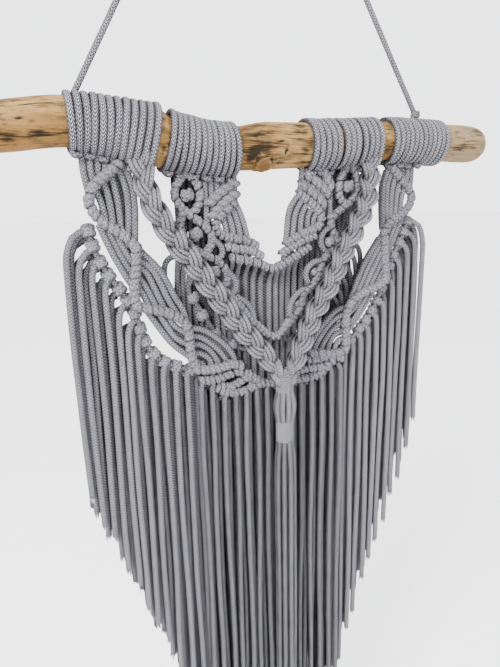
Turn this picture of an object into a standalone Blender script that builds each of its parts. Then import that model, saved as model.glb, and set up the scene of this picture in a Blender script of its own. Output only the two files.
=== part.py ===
"""Macrame wall hanging of grey braided cotton cord on a driftwood stick.

The layout is in millimetres: X across, Y into the wall, Z up, with X = 0 on the panel's middle
line. Every place is turned into metres from the nail that carries the hanging cord, which is the
object's origin. The fabric is built from cords: each sub-part is a set of swept strands, bars and
knots that a Boolean union fuses where they are tied together.
"""

import math
import random
from collections import namedtuple

import bmesh
import bpy
from mathutils import Vector

MM = 0.001
NAIL = Vector((-5.7, 12.0, 374.0))

# Driving dimensions, in millimetres. A three-sided strand is drawn wider, so that it looks as
# thick as the cord.
CORD = 5.0
STRAND = 0.92 * CORD / 2
THREE_SIDED = 1.13 * STRAND
THIN = 0.84 * CORD / 2
BAR = 3.9
PANEL_BAR = 3.7
BASE_BAR = 3.5
CHAIN = 2.7
RIDGE_PITCH = 8.0
RIDGE_DEPTH = 0.84
GAP = 0.35
WRAP = 4.6
WRAP_DIP = 1.3
KNOT = 4.1
KNOT_LENGTH = 9.0
LOCK = 3.5
PLAIT_PERIOD = 40.0
PLAIT_SWING = 3.8
PLAIT_LIFT = 2.3
SHOULDER_DROP = 6.0
FOOT_SWAY = 0.3
HEM_JITTER = 7.0
SEED = 7

# How finely the shapes are drawn: sides and steps of the stick, the turn (in radians) from one
# cord's facets to the next one's, and the share of facets that each kind of piece keeps.
STICK_SIDES = 12
STICK_STEP = 16.0
TWIST = 0.61
KEPT_FACETS = {"wing": 0.76, "swag": 0.85, "plait": 0.7, "panel": 0.8, "base": 0.8}

# Depths of the layers, in millimetres: the wall side is positive.
WING_Y = -4.5
WING_BACK_Y = -2.0
SWAG_Y = 2.8
PANEL_Y = -3.4
PANEL_BACK_Y = -2.2
CHAIN_Y = -3.0
REAR_Y = 4.5
CURTAIN_Y = 7.5
BASE_Y = -3.4
TASSEL_Y = -17.5

# The trimmed lower edge is a V: its slope, its tip and how blunt the tip is.
HEM_TIP = -577.0
HEM_SLOPE = 2.95
HEM_BLUNT = 15.0

Section = namedtuple("Section", "x z radius")
Turns = namedtuple("Turns", "name start end pairs")
Hang = namedtuple("Hang", "x z hang_x y")

# The stick's middle line and its radius, from its left end to its worn right end.
STICK = [
    Section(-206, 117.0, 9.0),
    Section(-203, 117.4, 12.6),
    Section(-190, 119.0, 14.2),
    Section(-172, 121.6, 15.1),
    Section(-150, 124.4, 15.3),
    Section(-132, 125.0, 14.6),
    Section(-112, 123.0, 14.7),
    Section(-96, 119.8, 16.6),
    Section(-80, 116.6, 18.4),
    Section(-64, 113.6, 16.4),
    Section(-45, 111.8, 14.8),
    Section(-28, 112.4, 14.9),
    Section(-8, 114.6, 16.3),
    Section(12, 115.8, 16.4),
    Section(34, 116.6, 15.8),
    Section(60, 118.6, 14.8),
    Section(90, 121.0, 14.3),
    Section(120, 122.5, 14.0),
    Section(150, 123.0, 13.7),
    Section(180, 123.0, 14.5),
    Section(196, 122.6, 13.2),
    Section(203, 122.2, 10.4),
    Section(206.5, 121.8, 6.0),
]
BRANCH_STUB = Section(-7, 101.5, 6.5)

WRAPS = [
    Turns("mount_wraps_1", -141.0, -86.5, 6),
    Turns("mount_wraps_2", -79.0, -29.5, 6),
    Turns("mount_wraps_3", 26.0, 49.5, 3),
    Turns("mount_wraps_4", 51.5, 65.5, 2),
    Turns("mount_wraps_5", 67.5, 88.5, 2),
    Turns("mount_wraps_6", 98.0, 153.5, 6),
]

HANGING_CORD = [(-135.6, 143.6), (-5.7, 374.0), (134.0, 150.0)]
HANGING_KNOT = Section(134.5, 147.0, 4.4)

# Ridged bars of each wing, as (x, z) points along their middle.
WING_BARS = {
    "left": [
        [(-110, 101), (-121, 92.5), (-129, 85), (-132, 76), (-127, 66), (-117, 58.5), (-108, 52),
         (-103.5, 45)],
        [(-103.5, 47), (-104.5, 36), (-106.5, 24), (-107.5, 13), (-106, 5)],
        [(-107, 6), (-98, 3), (-88, 0.5), (-80, -3.5), (-73, -9), (-70, -16), (-69.5, -28),
         (-68, -38), (-65, -46)],
        [(-67, -46), (-56, -47.6), (-45, -47.2), (-35, -46), (-28, -49)],
    ],
    "right": [
        [(109, 102), (120, 91.5), (128, 85), (131.5, 76), (126, 67), (116, 61), (108, 56), (104, 49)],
        [(104, 51), (105, 40), (106, 29), (107, 18), (107, 8)],
        [(108, 9), (99, 4.5), (90, 1.5), (81, -1.5), (73, -7), (68.5, -15), (67.5, -27),
         (68.5, -38), (68, -48)],
        [(69, -48), (58, -50), (49, -49), (40, -47), (31, -46)],
    ],
}

# Strands that fill the leaves between the bars, bar to bar.
WING_STRANDS = {
    "left": [
        [(-127, 84), (-124, 75), (-122, 63)],
        [(-120, 92), (-117.5, 78), (-116.5, 60)],
        [(-114.5, 96), (-112, 80), (-111.5, 56)],
        [(-110, 100), (-106, 86), (-104.8, 70), (-104.5, 52)],
        [(-132.8, 110), (-132.8, 96), (-131, 80)],
        [(-127, 110), (-127, 96), (-125.5, 88)],
        [(-119.5, 110), (-118.5, 92)],
        [(-113.5, 108), (-113.5, 96)],
        [(-125.5, 64), (-121, 48), (-114, 34), (-108, 22)],
        [(-120.5, 60), (-116, 46), (-111, 38), (-106, 32)],
        [(-101, 44), (-93, 34), (-84, 17), (-76, 2), (-72, -10)],
        [(-102, 37), (-94, 25), (-85, 9), (-80, -3)],
        [(-103, 29), (-97, 19), (-91, 8), (-88, 0)],
        [(-104, 21), (-100, 13), (-97, 3)],
        [(-100, 3), (-91, -12), (-82, -25), (-70, -36)],
        [(-92, 1), (-85, -12), (-79, -21), (-70, -27)],
        [(-85, -2), (-80, -11), (-70, -19)],
        [(-69, -14), (-58, -15.5), (-48, -22), (-38, -32), (-31, -47)],
        [(-69, -20), (-60, -21.5), (-51, -28), (-43, -37), (-39, -46), (-38.5, -53.8)],
        [(-69, -27), (-61, -28), (-53, -34), (-47, -45), (-46.5, -54.3)],
        [(-68, -34), (-61, -35), (-54.5, -40), (-52.5, -47), (-52.5, -53.9)],
    ],
    "right": [
        [(125.5, 86), (123, 78), (121.5, 65)],
        [(118.5, 93), (116, 80), (115.5, 62)],
        [(113.5, 96), (110.5, 80), (110, 58)],
        [(109, 101), (104.8, 88), (104.5, 74), (105.5, 53)],
        [(131.6, 108), (131.8, 94), (130.5, 80)],
        [(126, 108), (126, 96), (124.5, 88)],
        [(119.5, 108), (118.5, 93)],
        [(113.5, 108), (113.5, 97)],
        [(120.5, 63), (115.5, 49), (110, 37), (106, 28)],
        [(115.5, 61), (111, 49), (105, 40)],
        [(101.5, 44), (90, 29), (80, 11), (73, -6)],
        [(102.5, 38), (93, 26), (85, 10), (79.5, -2)],
        [(104, 32), (95, 21), (88.5, 9), (86, 0)],
        [(105, 24), (98, 15), (94, 3)],
        [(99, 3), (90, -10), (81, -22), (68, -36)],
        [(91, 0), (84, -12), (77, -22), (68, -28)],
        [(85, -2), (78.5, -12), (68, -20)],
        [(67, -13), (57, -12), (47, -19), (38, -29), (31, -45)],
        [(67, -19), (58, -18.5), (49, -26), (41, -36), (38, -46), (37.5, -56.4)],
        [(67, -27), (58, -26.5), (50, -33), (45, -45), (44.5, -57.4)],
        [(67, -35), (59, -34.5), (53, -40), (51.5, -48), (51.5, -55.6)],
    ],
}

# The swag: its holding cord, then each lark's head with the places where its strands hang.
SWAG_CORDS = {
    "left": [(-134, 62), (-131.5, 48), (-127, 36), (-121, 25), (-115, 16), (-110, 7), (-106, -3),
             (-103.5, -14), (-100, -24), (-94, -33), (-86, -40), (-76, -44.5), (-66, -48.5)],
    "right": [(135, 62), (131.5, 51), (127, 41), (121.5, 32), (117.5, 22), (113, 10), (108, -1),
              (103, -12), (97, -22), (89.5, -30), (82.5, -37), (75, -44), (68, -49)],
}
SWAG_KNOTS = {
    "left": [
        Hang(-134, 59, -149.6, 0.2), Hang(-134, 57, -146.2, 4.6), Hang(-131, 46, -142.6, 0.2),
        Hang(-128.5, 39, -138.4, 4.2), Hang(-128.5, 37, -134.2, 0.2), Hang(-122.5, 27, -130.2, 4.8),
        Hang(-122.5, 25, -126.4, 0.2), Hang(-116, 17, -122.8, 4.8), Hang(-111, 8, -119.0, 0.0),
        Hang(-106.5, -5, -113.6, 0.2), Hang(-104.5, -10, -109.9, 5.2), Hang(-103.5, -15, -107.2, 0.0),
        Hang(-99.5, -24, -103.2, 5.0), Hang(-95, -33, -98.6, 0.0), Hang(-92, -35, -94.6, 5.2),
        Hang(-86.5, -40, -90.0, 0.2), Hang(-84, -41, -85.9, 5.0), Hang(-79, -43.5, -80.6, 0.2),
        Hang(-75, -44.5, -76.4, 5.2), Hang(-70, -46.5, -71.8, 0.6), Hang(-68, -47.5, -67.2, 5.4),
    ],
    "right": [
        Hang(134.5, 59, 151.0, 0.2), Hang(134.5, 57, 146.8, 4.6), Hang(130.5, 49, 142.8, 0.2),
        Hang(127, 41, 138.8, 4.6), Hang(126, 39, 134.6, 0.2), Hang(121.5, 32, 130.6, 4.8),
        Hang(119, 27, 126.8, 0.2), Hang(116.5, 20, 123.2, 4.8), Hang(112.5, 9, 119.4, 0.0),
        Hang(108, -1, 115.4, 5.0), Hang(104.5, -9, 111.2, 0.2), Hang(102, -14, 107.4, 5.2),
        Hang(98, -20, 103.4, 0.0), Hang(94, -25, 99.2, 5.0), Hang(90, -29.5, 95.2, 0.2),
        Hang(86, -34, 91.2, 5.2), Hang(83, -36.5, 87.2, 0.2), Hang(80, -39, 83.0, 5.2),
        Hang(76, -43, 78.8, 0.2), Hang(73, -45.5, 74.8, 5.2), Hang(69.5, -47.5, 70.6, 0.6),
    ],
}

# The middle panel: slanting bars, the V's rows, and the strands between and behind them.
PANEL_BARS = [
    [(-29, 90), (-38, 85), (-50, 76)],
    [(-29, 82.5), (-40, 76), (-50, 67.5)],
    [(-30, 75), (-41, 67), (-45, 60), (-41.5, 52.5), (-32, 49.5), (-21, 48), (-12, 42.5)],
    [(-38, 44.5), (-30, 41.5), (-19, 40.5), (-8, 35)],
    [(-36, 35.5), (-26, 33.5), (-13, 30.5), (0, 25.5), (12, 30), (23, 35.5), (33, 41)],
    [(26, 93.5), (36, 88.5), (47.5, 79.5)],
    [(24, 87), (34, 82), (46, 72)],
    [(22, 81), (33, 74.5), (41.5, 67), (42, 59.5), (34, 54.5), (22, 51), (9, 45)],
    [(38, 49.5), (26, 45.5), (15, 40.5), (7, 36)],
]
PANEL_STRANDS = [
    [(-36, 70), (-33, 60), (-31, 49)],
    [(-33, 73), (-27, 61), (-24.5, 48)],
    [(-30, 75), (-23, 60), (-19, 47)],
    [(-51, 104), (-51, 88), (-49.5, 75)],
    [(-44, 104), (-44, 92), (-42, 81)],
    [(-36.5, 104), (-36.5, 92), (-35.5, 86)],
    [(-30.5, 104), (-30.5, 90), (-31.2, 76)],
    [(30, 68), (29.5, 62), (30, 53)],
    [(27, 74), (23.5, 64), (22.5, 51)],
    [(23, 78), (17, 64), (14.5, 48)],
    [(28, 108), (27, 96), (24.8, 80)],
    [(36, 108), (36, 96), (37, 87)],
    [(44, 108), (44, 94), (46, 81)],
    [(-24, 48), (-23, 41), (-22, 32)],
    [(25, 52), (24, 45), (23, 36)],
    [(-68, 92), (-66.5, 79), (-64, 66)],
    [(-66, 68), (-61.5, 53), (-59, 39)],
    [(-51, 36), (-49, 26), (-46, 14)],
    [(64, 98), (67, 86), (64, 73)],
    [(51.5, 54), (49.5, 44), (46, 35)],
    [(42, 32), (37, 20), (33, 10)],
]

# The rings beside the plaits, tied one below the other, and the berry knots inside the large ones.
PANEL_CHAINS = [
    [(-66, 106), (-68, 91), (-74, 84), (-74, 77), (-67, 69), (-58, 62), (-51, 56), (-51, 47), (-57, 38)],
    [(-59, 106), (-57.5, 88), (-57, 77), (-62, 65)],
    [(-68, 70), (-73.5, 59), (-68, 47), (-58, 38.5), (-49, 34), (-43, 26), (-44, 13)],
    [(-52, 50), (-45, 45), (-44.5, 38), (-51, 35)],
    [(-44, 28), (-36, 22), (-34, 15), (-40, 9)],
    [(-46, 16), (-38, 9.5), (-30, 7), (-24, 1), (-17, -4), (-16.5, -15)],
    [(-32, 8.5), (-26.5, -5), (-17, -14), (-8, -22), (0, -27.5), (8, -21), (14, -12)],
    [(62, 108), (58, 94), (57, 84), (60, 75), (52, 64), (51.5, 49)],
    [(69, 108), (75.5, 96), (75, 86), (68, 75), (56, 69.5)],
    [(52, 58), (44, 53), (41.5, 44), (47, 36)],
    [(51, 51), (57, 44), (50, 38), (40, 31.5), (31, 26), (28.5, 18), (35, 10)],
    [(46, 38), (44, 24), (36, 10.5), (26, 7), (17, 0), (12.5, -9), (13.5, -17)],
    [(27.5, 9), (24.5, -4), (13, -14.5)],
]
BERRIES = [
    Section(-66.5, 79, 5.8),
    Section(-61.5, 53, 6.0),
    Section(-49, 26, 5.6),
    Section(67, 86, 6.0),
    Section(49.5, 44, 4.4),
    Section(37, 20, 5.0),
]

# Knots and strands behind the plaits, on their outer side.
REAR_CORDS = [
    [(-72, 60), (-81, 40), (-74, 22), (-66, 9), (-59, -2), (-51, -17), (-43, -25), (-33, -32),
     (-20, -38), (-8, -23)],
    [(74, 84), (79, 41), (70, 27), (63, 10), (56, 0), (45, -14), (36, -24), (26, -32), (15, -34),
     (7, -20)],
]
REAR_KNOTS = [
    Section(-65, 8, 4.8),
    Section(-58, -3, 4.4),
    Section(-47, -21, 4.6),
    Section(-33, -32, 4.8),
    Section(63, 10, 4.6),
    Section(54, -3, 4.6),
]
REAR_STRANDS = [
    [(-80, 42), (-86, 28), (-87, 12)],
    [(-74, 24), (-76.5, 8), (-77, -6)],
    [(79, 42), (83.5, 30), (82, 14)],
    [(71, 30), (75, 14), (73, -4)],
]

# The curtain of strands that hangs from the V's lowest row, as (x, z) of their roots, and how far
# below them a strand has swung back behind the fringe.
CURTAIN = [(-31.5, 34.5), (-26, 33.5), (-19, 32), (-12.5, 30.2), (-6, 28), (1.5, 26.2), (7.5, 28.3),
           (13, 30.6), (18.5, 33.2), (24.5, 36)]
CURTAIN_SETBACK = 24.0

# Bottom bars, and the middle fringe that hangs from them.
BASE_BARS = [
    [(-63, -57), (-54, -57.6), (-45, -58.2), (-34, -57.4), (-24, -57.4), (-17, -61)],
    [(-49, -65.5), (-41, -69), (-33, -69.6), (-25, -66.6), (-17, -61), (-9, -64.5), (2, -67),
     (14, -67), (24, -68), (34, -67.6), (42, -65)],
    [(18, -66), (22, -60.5), (32, -60), (43, -61.5), (52, -59.6), (63, -58.6)],
    [(-44, -58), (-46, -62), (-44, -68)],
    [(42, -65), (46, -62), (43, -61)],
]
BASE_FRINGE = [
    Hang(-61, -57, -62.4, -3.6), Hang(-57, -57.5, -58.2, 1.2), Hang(-52, -58, -53.4, -3.6),
    Hang(-47.5, -66, -48.6, 1.2), Hang(-43, -68.5, -43.8, -3.6), Hang(-38.5, -69.5, -39.0, 1.2),
    Hang(-34, -69.6, -34.2, -3.6), Hang(-29.5, -68, -29.6, 1.2), Hang(-25, -66.6, -25.0, -3.6),
    Hang(-20.5, -64, -20.4, 1.2), Hang(-16, -62, -15.8, -3.6), Hang(-11, -64, -11.0, 1.2),
    Hang(-6, -65.5, -6.2, -2.6), Hang(-1, -66.5, -1.2, 1.6), Hang(4, -67, 3.8, -2.6),
    Hang(9, -67, 9.0, 1.6), Hang(14, -67, 14.4, -2.6), Hang(19, -67.5, 19.6, 1.2),
    Hang(24, -68, 24.6, -3.6), Hang(29, -68, 29.8, 1.2), Hang(34, -67.6, 35.0, -3.6),
    Hang(39, -66.5, 40.2, 1.2), Hang(42, -65, 45.0, -3.6), Hang(47, -61, 49.8, 1.2),
    Hang(52, -59.6, 54.6, -3.6), Hang(56, -59, 59.2, 1.2), Hang(60, -58.8, 63.8, -3.6),
]

# The plaits' middle lines, as (x, y, z), from the wraps down to the tassel's head.
PLAITS = {
    "left": [(-98, -9, 108), (-97, -11, 92), (-94.5, -14, 78), (-88.5, -15.2, 65), (-82.5, -15.2, 55),
             (-75, -15.2, 44), (-67, -15.2, 34), (-58.5, -15.2, 21), (-50, -15.2, 8.5),
             (-39, -15.2, -6.7), (-30.5, -15.2, -18.5), (-19, -15.2, -32.3), (-11.5, -16, -43),
             (-7.5, -17, -52.5)],
    "right": [(85, -9, 108), (83, -11, 94), (79.5, -14, 80), (75, -15.2, 68), (69.7, -15.2, 59),
              (63.8, -15.2, 47), (57, -15.2, 36.5), (51, -15.2, 24.7), (43.7, -15.2, 11),
              (36.3, -15.2, -0.8), (29.4, -15.2, -11.6), (23.5, -15.2, -24), (17.5, -15.6, -36),
              (13.6, -16.2, -46), (12.2, -17, -52.5)],
}

# The plait tassel, as half widths down its middle line: two gathering wraps with a bulge between.
TASSEL_X = 2.6
TASSEL = [
    Section(0, -53.5, 5.5),
    Section(0, -56, 7.4),
    Section(0, -71, 7.8),
    Section(0, -74, 8.0),
    Section(0, -84, 9.4),
    Section(0, -92, 8.8),
    Section(0, -96, 7.6),
    Section(0, -113, 7.6),
]
TAIL_RING = 5.4
TAIL_FLATNESS = 0.8
TAIL_FLARE = 1.45
TAIL_COUNT = 7
TAIL_END = -505.0


def world(x, y, z):
    """A layout point as metres from the nail."""
    return (Vector((x, y, z)) - NAIL) * MM


def in_plane(points, y):
    """Points (x, z) set at depth y."""
    return [Vector((x, y, z)) for x, z in points]


def smooth(points, step):
    """Points about step apart on a Catmull-Rom curve through the given ones."""
    knots = [Vector(p) for p in points]
    ends = [2 * knots[0] - knots[1]] + knots + [2 * knots[-1] - knots[-2]]
    found = [knots[0]]
    for before, start, end, after in zip(ends, ends[1:], ends[2:], ends[3:]):
        count = max(1, round((end - start).length / step))
        for i in range(1, count + 1):
            t = i / count
            bend = 2 * start + (end - before) * t
            bend += (2 * before - 5 * start + 4 * end - after) * t * t
            bend += (3 * start - before - 3 * end + after) * t ** 3
            found.append(bend / 2)
    return found


def hem(x):
    """Height at which a strand that hangs at x is cut."""
    return HEM_TIP + HEM_SLOPE * math.hypot(x, HEM_BLUNT)


def collection(name):
    """A new collection in the scene."""
    group = bpy.data.collections.new(name)
    bpy.context.scene.collection.children.link(group)
    return group


def material(name, colour, roughness):
    """A Principled material."""
    made = bpy.data.materials.new(name)
    made.use_nodes = True
    shader = made.node_tree.nodes["Principled BSDF"]
    shader.inputs["Base Color"].default_value = (*colour, 1.0)
    shader.inputs["Roughness"].default_value = roughness
    shader.inputs["Metallic"].default_value = 0.0
    return made


def section_curve(sides):
    """A closed outline with an odd number of sides, 1 mm in radius, for strands to follow."""
    name = f"section_{sides}"
    if name in bpy.data.objects:
        return bpy.data.objects[name]
    outline = bpy.data.curves.new(name, "CURVE")
    outline.dimensions = "2D"
    spline = outline.splines.new("POLY")
    spline.points.add(sides - 1)
    for i, point in enumerate(spline.points):
        turn = 2 * math.pi * i / sides
        point.co = (MM * math.sin(turn), MM * math.cos(turn), 0, 1)
    spline.use_cyclic_u = True
    made = bpy.data.objects.new(name, outline)
    made.hide_render = True
    bpy.data.collections["cutters"].objects.link(made)
    return made


class Cords:
    """Swept strands of one sub-part. Each row keeps its points, radii and number of sides."""

    def __init__(self, turn=0.0):
        self.rows = []
        self.turn = turn

    def strand(self, points, radius=STRAND, sides=4):
        """A plain strand through the points as they are."""
        self.rows.append((points, [radius] * len(points), sides))

    def profile(self, points, radii, sides):
        """A strand or lump whose radius changes from point to point."""
        self.rows.append((points, radii, sides))

    def bar(self, points, y, radius=BAR, sides=5):
        """A bar of half hitches: a ridge for every pair of knots."""
        path = smooth(in_plane(points, y), RIDGE_PITCH / 2)
        radii = [radius * (RIDGE_DEPTH if i % 2 else 1.0) for i in range(len(path))]
        self.rows.append((path, radii, sides))

    def knot(self, x, y, z, radius, length=None):
        """A round knot, as a short fat strand that stands upright."""
        half = (length or 2 * radius) / 2
        path = [Vector((x, y, z + h)) for h in (half, 0, -half)]
        self.rows.append((path, [radius * s for s in (0.6, 1.0, 0.6)], 5))

    def mesh(self, name):
        """All rows as one mesh of closed tubes in metres, each turned a little from the last."""
        whole = bmesh.new()
        for row, (points, radii, sides) in enumerate(self.rows):
            curve = bpy.data.curves.new(name, "CURVE")
            curve.dimensions = "3D"
            curve.use_fill_caps = True
            if sides % 2:
                curve.bevel_mode = "OBJECT"
                curve.bevel_object = section_curve(sides)
            else:
                curve.bevel_depth = MM
                curve.bevel_resolution = (sides - 4) // 2
            spline = curve.splines.new("POLY")
            spline.points.add(len(points) - 1)
            for target, point, radius in zip(spline.points, points, radii):
                target.co = (*world(*point), 1.0)
                target.radius = radius
                target.tilt = self.turn * row
            holder = bpy.data.objects.new(name, curve)
            bpy.context.scene.collection.objects.link(holder)
            graph = bpy.context.evaluated_depsgraph_get()
            part = bpy.data.meshes.new_from_object(holder.evaluated_get(graph))
            tube = bmesh.new()
            tube.from_mesh(part)
            bmesh.ops.remove_doubles(tube, verts=tube.verts, dist=1e-6)
            tube.to_mesh(part)
            tube.free()
            whole.from_mesh(part)
            bpy.data.objects.remove(holder)
            bpy.data.meshes.remove(part)
        made = bpy.data.meshes.new(name)
        whole.to_mesh(made)
        whole.free()
        return made


def build(name, mesh, finish, group):
    """An object from a mesh, with its material, in its collection."""
    made = bpy.data.objects.new(name, mesh)
    mesh.materials.clear()
    mesh.materials.append(finish)
    group.objects.link(made)
    return made


def cutter(name, mesh, guides):
    """An object that only cuts or joins."""
    made = bpy.data.objects.new(name, mesh)
    made.hide_render = True
    made.display_type = "WIRE"
    guides.objects.link(made)
    return made


def combine(target, other, operation):
    """A Boolean modifier that joins other to target or cuts it away."""
    step = target.modifiers.new(operation.title(), "BOOLEAN")
    step.operation = operation
    step.solver = "EXACT"
    step.use_self = True
    step.object = other
    return step


def stick_path(start, end, step):
    """Sections of the stick between two places, about step apart."""
    line = smooth([Vector((s.x, s.radius, s.z)) for s in STICK], 1.0)
    count = max(2, round((end - start) / step) + 1)
    found = []
    for i in range(count):
        x = start + (end - start) * i / (count - 1)
        near = min(line, key=lambda p: abs(p.x - x))
        found.append(Section(x, near.z, near.y))
    return found


def tube_round(sections, extra):
    """A tube along the stick's middle line, wider than the sections by extra."""
    tube = Cords()
    path = [Vector((s.x, 0, s.z)) for s in sections]
    tube.profile(path, [s.radius + extra for s in sections], STICK_SIDES)
    return tube


def make_stick(wood, group, guides):
    """The driftwood stick with the stub of a branch under its middle."""
    sections = STICK[:2] + stick_path(STICK[2].x, STICK[-3].x, STICK_STEP) + STICK[-2:]
    body = tube_round(sections, 0.0).mesh("driftwood_stick")
    stick = build("driftwood_stick", body, wood, group)
    bore = tube_round(sections, GAP).mesh("bore")
    cutter("bore", bore, guides)
    stub = Cords()
    top = Vector((BRANCH_STUB.x + 4, -6.0, BRANCH_STUB.z + 8))
    low = Vector((BRANCH_STUB.x, -6.0, BRANCH_STUB.z - 4))
    stub.profile([top, (top + low) / 2, low], [BRANCH_STUB.radius, BRANCH_STUB.radius, 4.0], 8)
    combine(stick, cutter("stub", stub.mesh("stub"), guides), "UNION")
    return stick


def make_wraps(cotton, group, guides):
    """The turns of cord round the stick: a ridge for each lark's head, which is a pair of turns."""
    for turns in WRAPS:
        pitch = (turns.end - turns.start) / (2 * turns.pairs)
        sections = stick_path(turns.start, turns.end, pitch)
        ridged = [s._replace(radius=s.radius - (0 if i % 2 else WRAP_DIP)) for i, s in enumerate(sections)]
        sleeve = tube_round(ridged, WRAP).mesh(turns.name)
        wraps = build(turns.name, sleeve, cotton, group)
        combine(wraps, bpy.data.objects["bore"], "DIFFERENCE")


def make_hanging_cord(cotton, group, guides):
    """The cord from the wraps over the nail, with the small knot at its right end."""
    left, nail, right = in_plane(HANGING_CORD, 0.0)
    nail.y = NAIL.y
    round_nail = [nail.lerp(left, 0.02), nail, nail.lerp(right, 0.02)]
    path = [left, left.lerp(nail, 0.3), left.lerp(nail, 0.7)] + round_nail
    path += [right.lerp(nail, 0.7), right.lerp(nail, 0.3), right]
    line = Cords()
    line.strand(path, STRAND, 8)
    cord = build("hanging_cord", line.mesh("hanging_cord"), cotton, group)
    tie = Cords()
    tie.knot(HANGING_KNOT.x, 0, HANGING_KNOT.z, HANGING_KNOT.radius, 8.0)
    combine(cord, cutter("hanging_knot", tie.mesh("hanging_knot"), guides), "UNION")
    trim_under_wraps(cord, guides)


def trim_under_wraps(piece, guides):
    """Cuts the strands that run up to the wraps just clear of them."""
    if "wrap_clearance" not in bpy.data.objects:
        tube = tube_round(stick_path(-160, 175, STICK_STEP / 4), WRAP + GAP)
        cutter("wrap_clearance", tube.mesh("wrap_clearance"), guides)
    combine(piece, bpy.data.objects["wrap_clearance"], "DIFFERENCE")


def fuse(name, first, others, finish, group, guides):
    """One solid from several sets of cords that overlap where they are tied."""
    piece = build(name, first.mesh(name), finish, group)
    combine(piece, cutter(name + "_strands", others.mesh(name), guides), "UNION")
    return piece


def lighten(piece, share):
    """Thins out the facets where cords cross, keeping this share of them."""
    step = piece.modifiers.new("Lighten", "DECIMATE")
    step.decimate_type = "COLLAPSE"
    step.ratio = share


def make_wing(side, cotton, group, guides):
    """The zigzag bars of one wing and the strands in its leaves."""
    bars = Cords(TWIST)
    for points in WING_BARS[side]:
        bars.bar(points, WING_Y)
    strands = Cords(TWIST)
    for points in WING_STRANDS[side]:
        strands.strand(smooth(in_plane(points, WING_BACK_Y), 18.0))
    wing = fuse(side + "_wing", bars, strands, cotton, group, guides)
    lighten(wing, KEPT_FACETS["wing"])
    trim_under_wraps(wing, guides)


def hang(cords, row, root_y, draw):
    """A fringe strand: out of its knot, over a shoulder and straight down to the hem."""
    aside = row.hang_x - row.x
    drop = SHOULDER_DROP + 0.9 * abs(aside)
    root = Vector((row.x, root_y, row.z))
    shoulder = Vector((row.x + 0.62 * aside, row.y, row.z - 0.22 * drop))
    straight = Vector((row.hang_x, row.y, row.z - drop - KNOT_LENGTH))
    foot = Vector((row.hang_x + draw.uniform(-FOOT_SWAY, FOOT_SWAY), row.y, hem(row.hang_x)))
    foot.z += draw.uniform(-HEM_JITTER, HEM_JITTER)
    cords.strand([root, shoulder, straight, foot], THREE_SIDED, 3)


def make_swag(side, draw, cotton, group, guides):
    """One swag: the holding cord, its lark's heads and the fringe on them."""
    holder = Cords(TWIST)
    path = smooth(in_plane(SWAG_CORDS[side], SWAG_Y), KNOT_LENGTH / 2)
    tied = [Vector((row.x, SWAG_Y, row.z)) for row in SWAG_KNOTS[side]]
    radii = [KNOT if min((p - t).length for t in tied) < KNOT_LENGTH / 3 else STRAND for p in path]
    holder.profile(path, radii, 5)
    fringe = Cords(TWIST)
    for row in SWAG_KNOTS[side]:
        hang(fringe, row, SWAG_Y, draw)
    swag = fuse(side + "_swag_fringe", holder, fringe, cotton, group, guides)
    lighten(swag, KEPT_FACETS["swag"])


def make_panel(cotton, group, guides):
    """The middle panel with its V, rings, berry knots, rear knots and curtain."""
    bars = Cords(TWIST)
    for points in PANEL_BARS:
        bars.bar(points, PANEL_Y, PANEL_BAR)
    for points in PANEL_CHAINS:
        bars.strand(smooth(in_plane(points, CHAIN_Y), 8.0), CHAIN)
    strands = Cords(TWIST)
    for berry in BERRIES:
        strands.knot(berry.x, CHAIN_Y, berry.z, berry.radius, 1.9 * berry.radius)
    for points in PANEL_STRANDS:
        strands.strand(smooth(in_plane(points, PANEL_BACK_Y), 14.0), THIN)
    for points in REAR_CORDS:
        path = in_plane(points, REAR_Y)
        path[0].y = CHAIN_Y
        path[-1].y = CHAIN_Y
        strands.strand(path)
    for knot in REAR_KNOTS:
        strands.knot(knot.x, REAR_Y, knot.z, knot.radius)
    for points in REAR_STRANDS:
        strands.strand(in_plane(points, REAR_Y), THIN)
    for x, top in CURTAIN:
        back = Vector((x, CURTAIN_Y, top - CURTAIN_SETBACK))
        strands.strand([Vector((x, PANEL_Y, top)), back, Vector((x, CURTAIN_Y, hem(x)))], THREE_SIDED, 3)
    panel = fuse("centre_panel", bars, strands, cotton, group, guides)
    lighten(panel, KEPT_FACETS["panel"])
    trim_under_wraps(panel, guides)


def make_base(draw, cotton, group, guides):
    """The bottom bars and the middle fringe."""
    bars = Cords(TWIST)
    for points in BASE_BARS:
        bars.bar(points, BASE_Y, BASE_BAR)
    fringe = Cords(TWIST)
    for row in BASE_FRINGE:
        hang(fringe, row, BASE_Y, draw)
    base = fuse("base_fringe", bars, fringe, cotton, group, guides)
    lighten(base, KEPT_FACETS["base"])


def make_plait(side, cotton, group, guides):
    """Three locks that cross over each other down a curved line."""
    line = smooth([Vector(p) for p in PLAITS[side]], 8.0)
    locks = [Cords(), Cords()]
    for lock in range(3):
        path = []
        run = 0.0
        for i, point in enumerate(line):
            ahead = line[min(i + 1, len(line) - 1)] - line[max(i - 1, 0)]
            across = ahead.cross(Vector((0, 1, 0))).normalized()
            if i:
                run += (point - line[i - 1]).length
            turn = 2 * math.pi * (run / PLAIT_PERIOD + lock / 3)
            lift = Vector((0, PLAIT_LIFT * math.sin(2 * turn), 0))
            path.append(point + across * PLAIT_SWING * math.sin(turn) + lift)
        locks[min(lock, 1)].strand(path, LOCK)
    plait = fuse(side + "_plait", locks[0], locks[1], cotton, group, guides)
    lighten(plait, KEPT_FACETS["plait"])
    trim_under_wraps(plait, guides)


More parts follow.
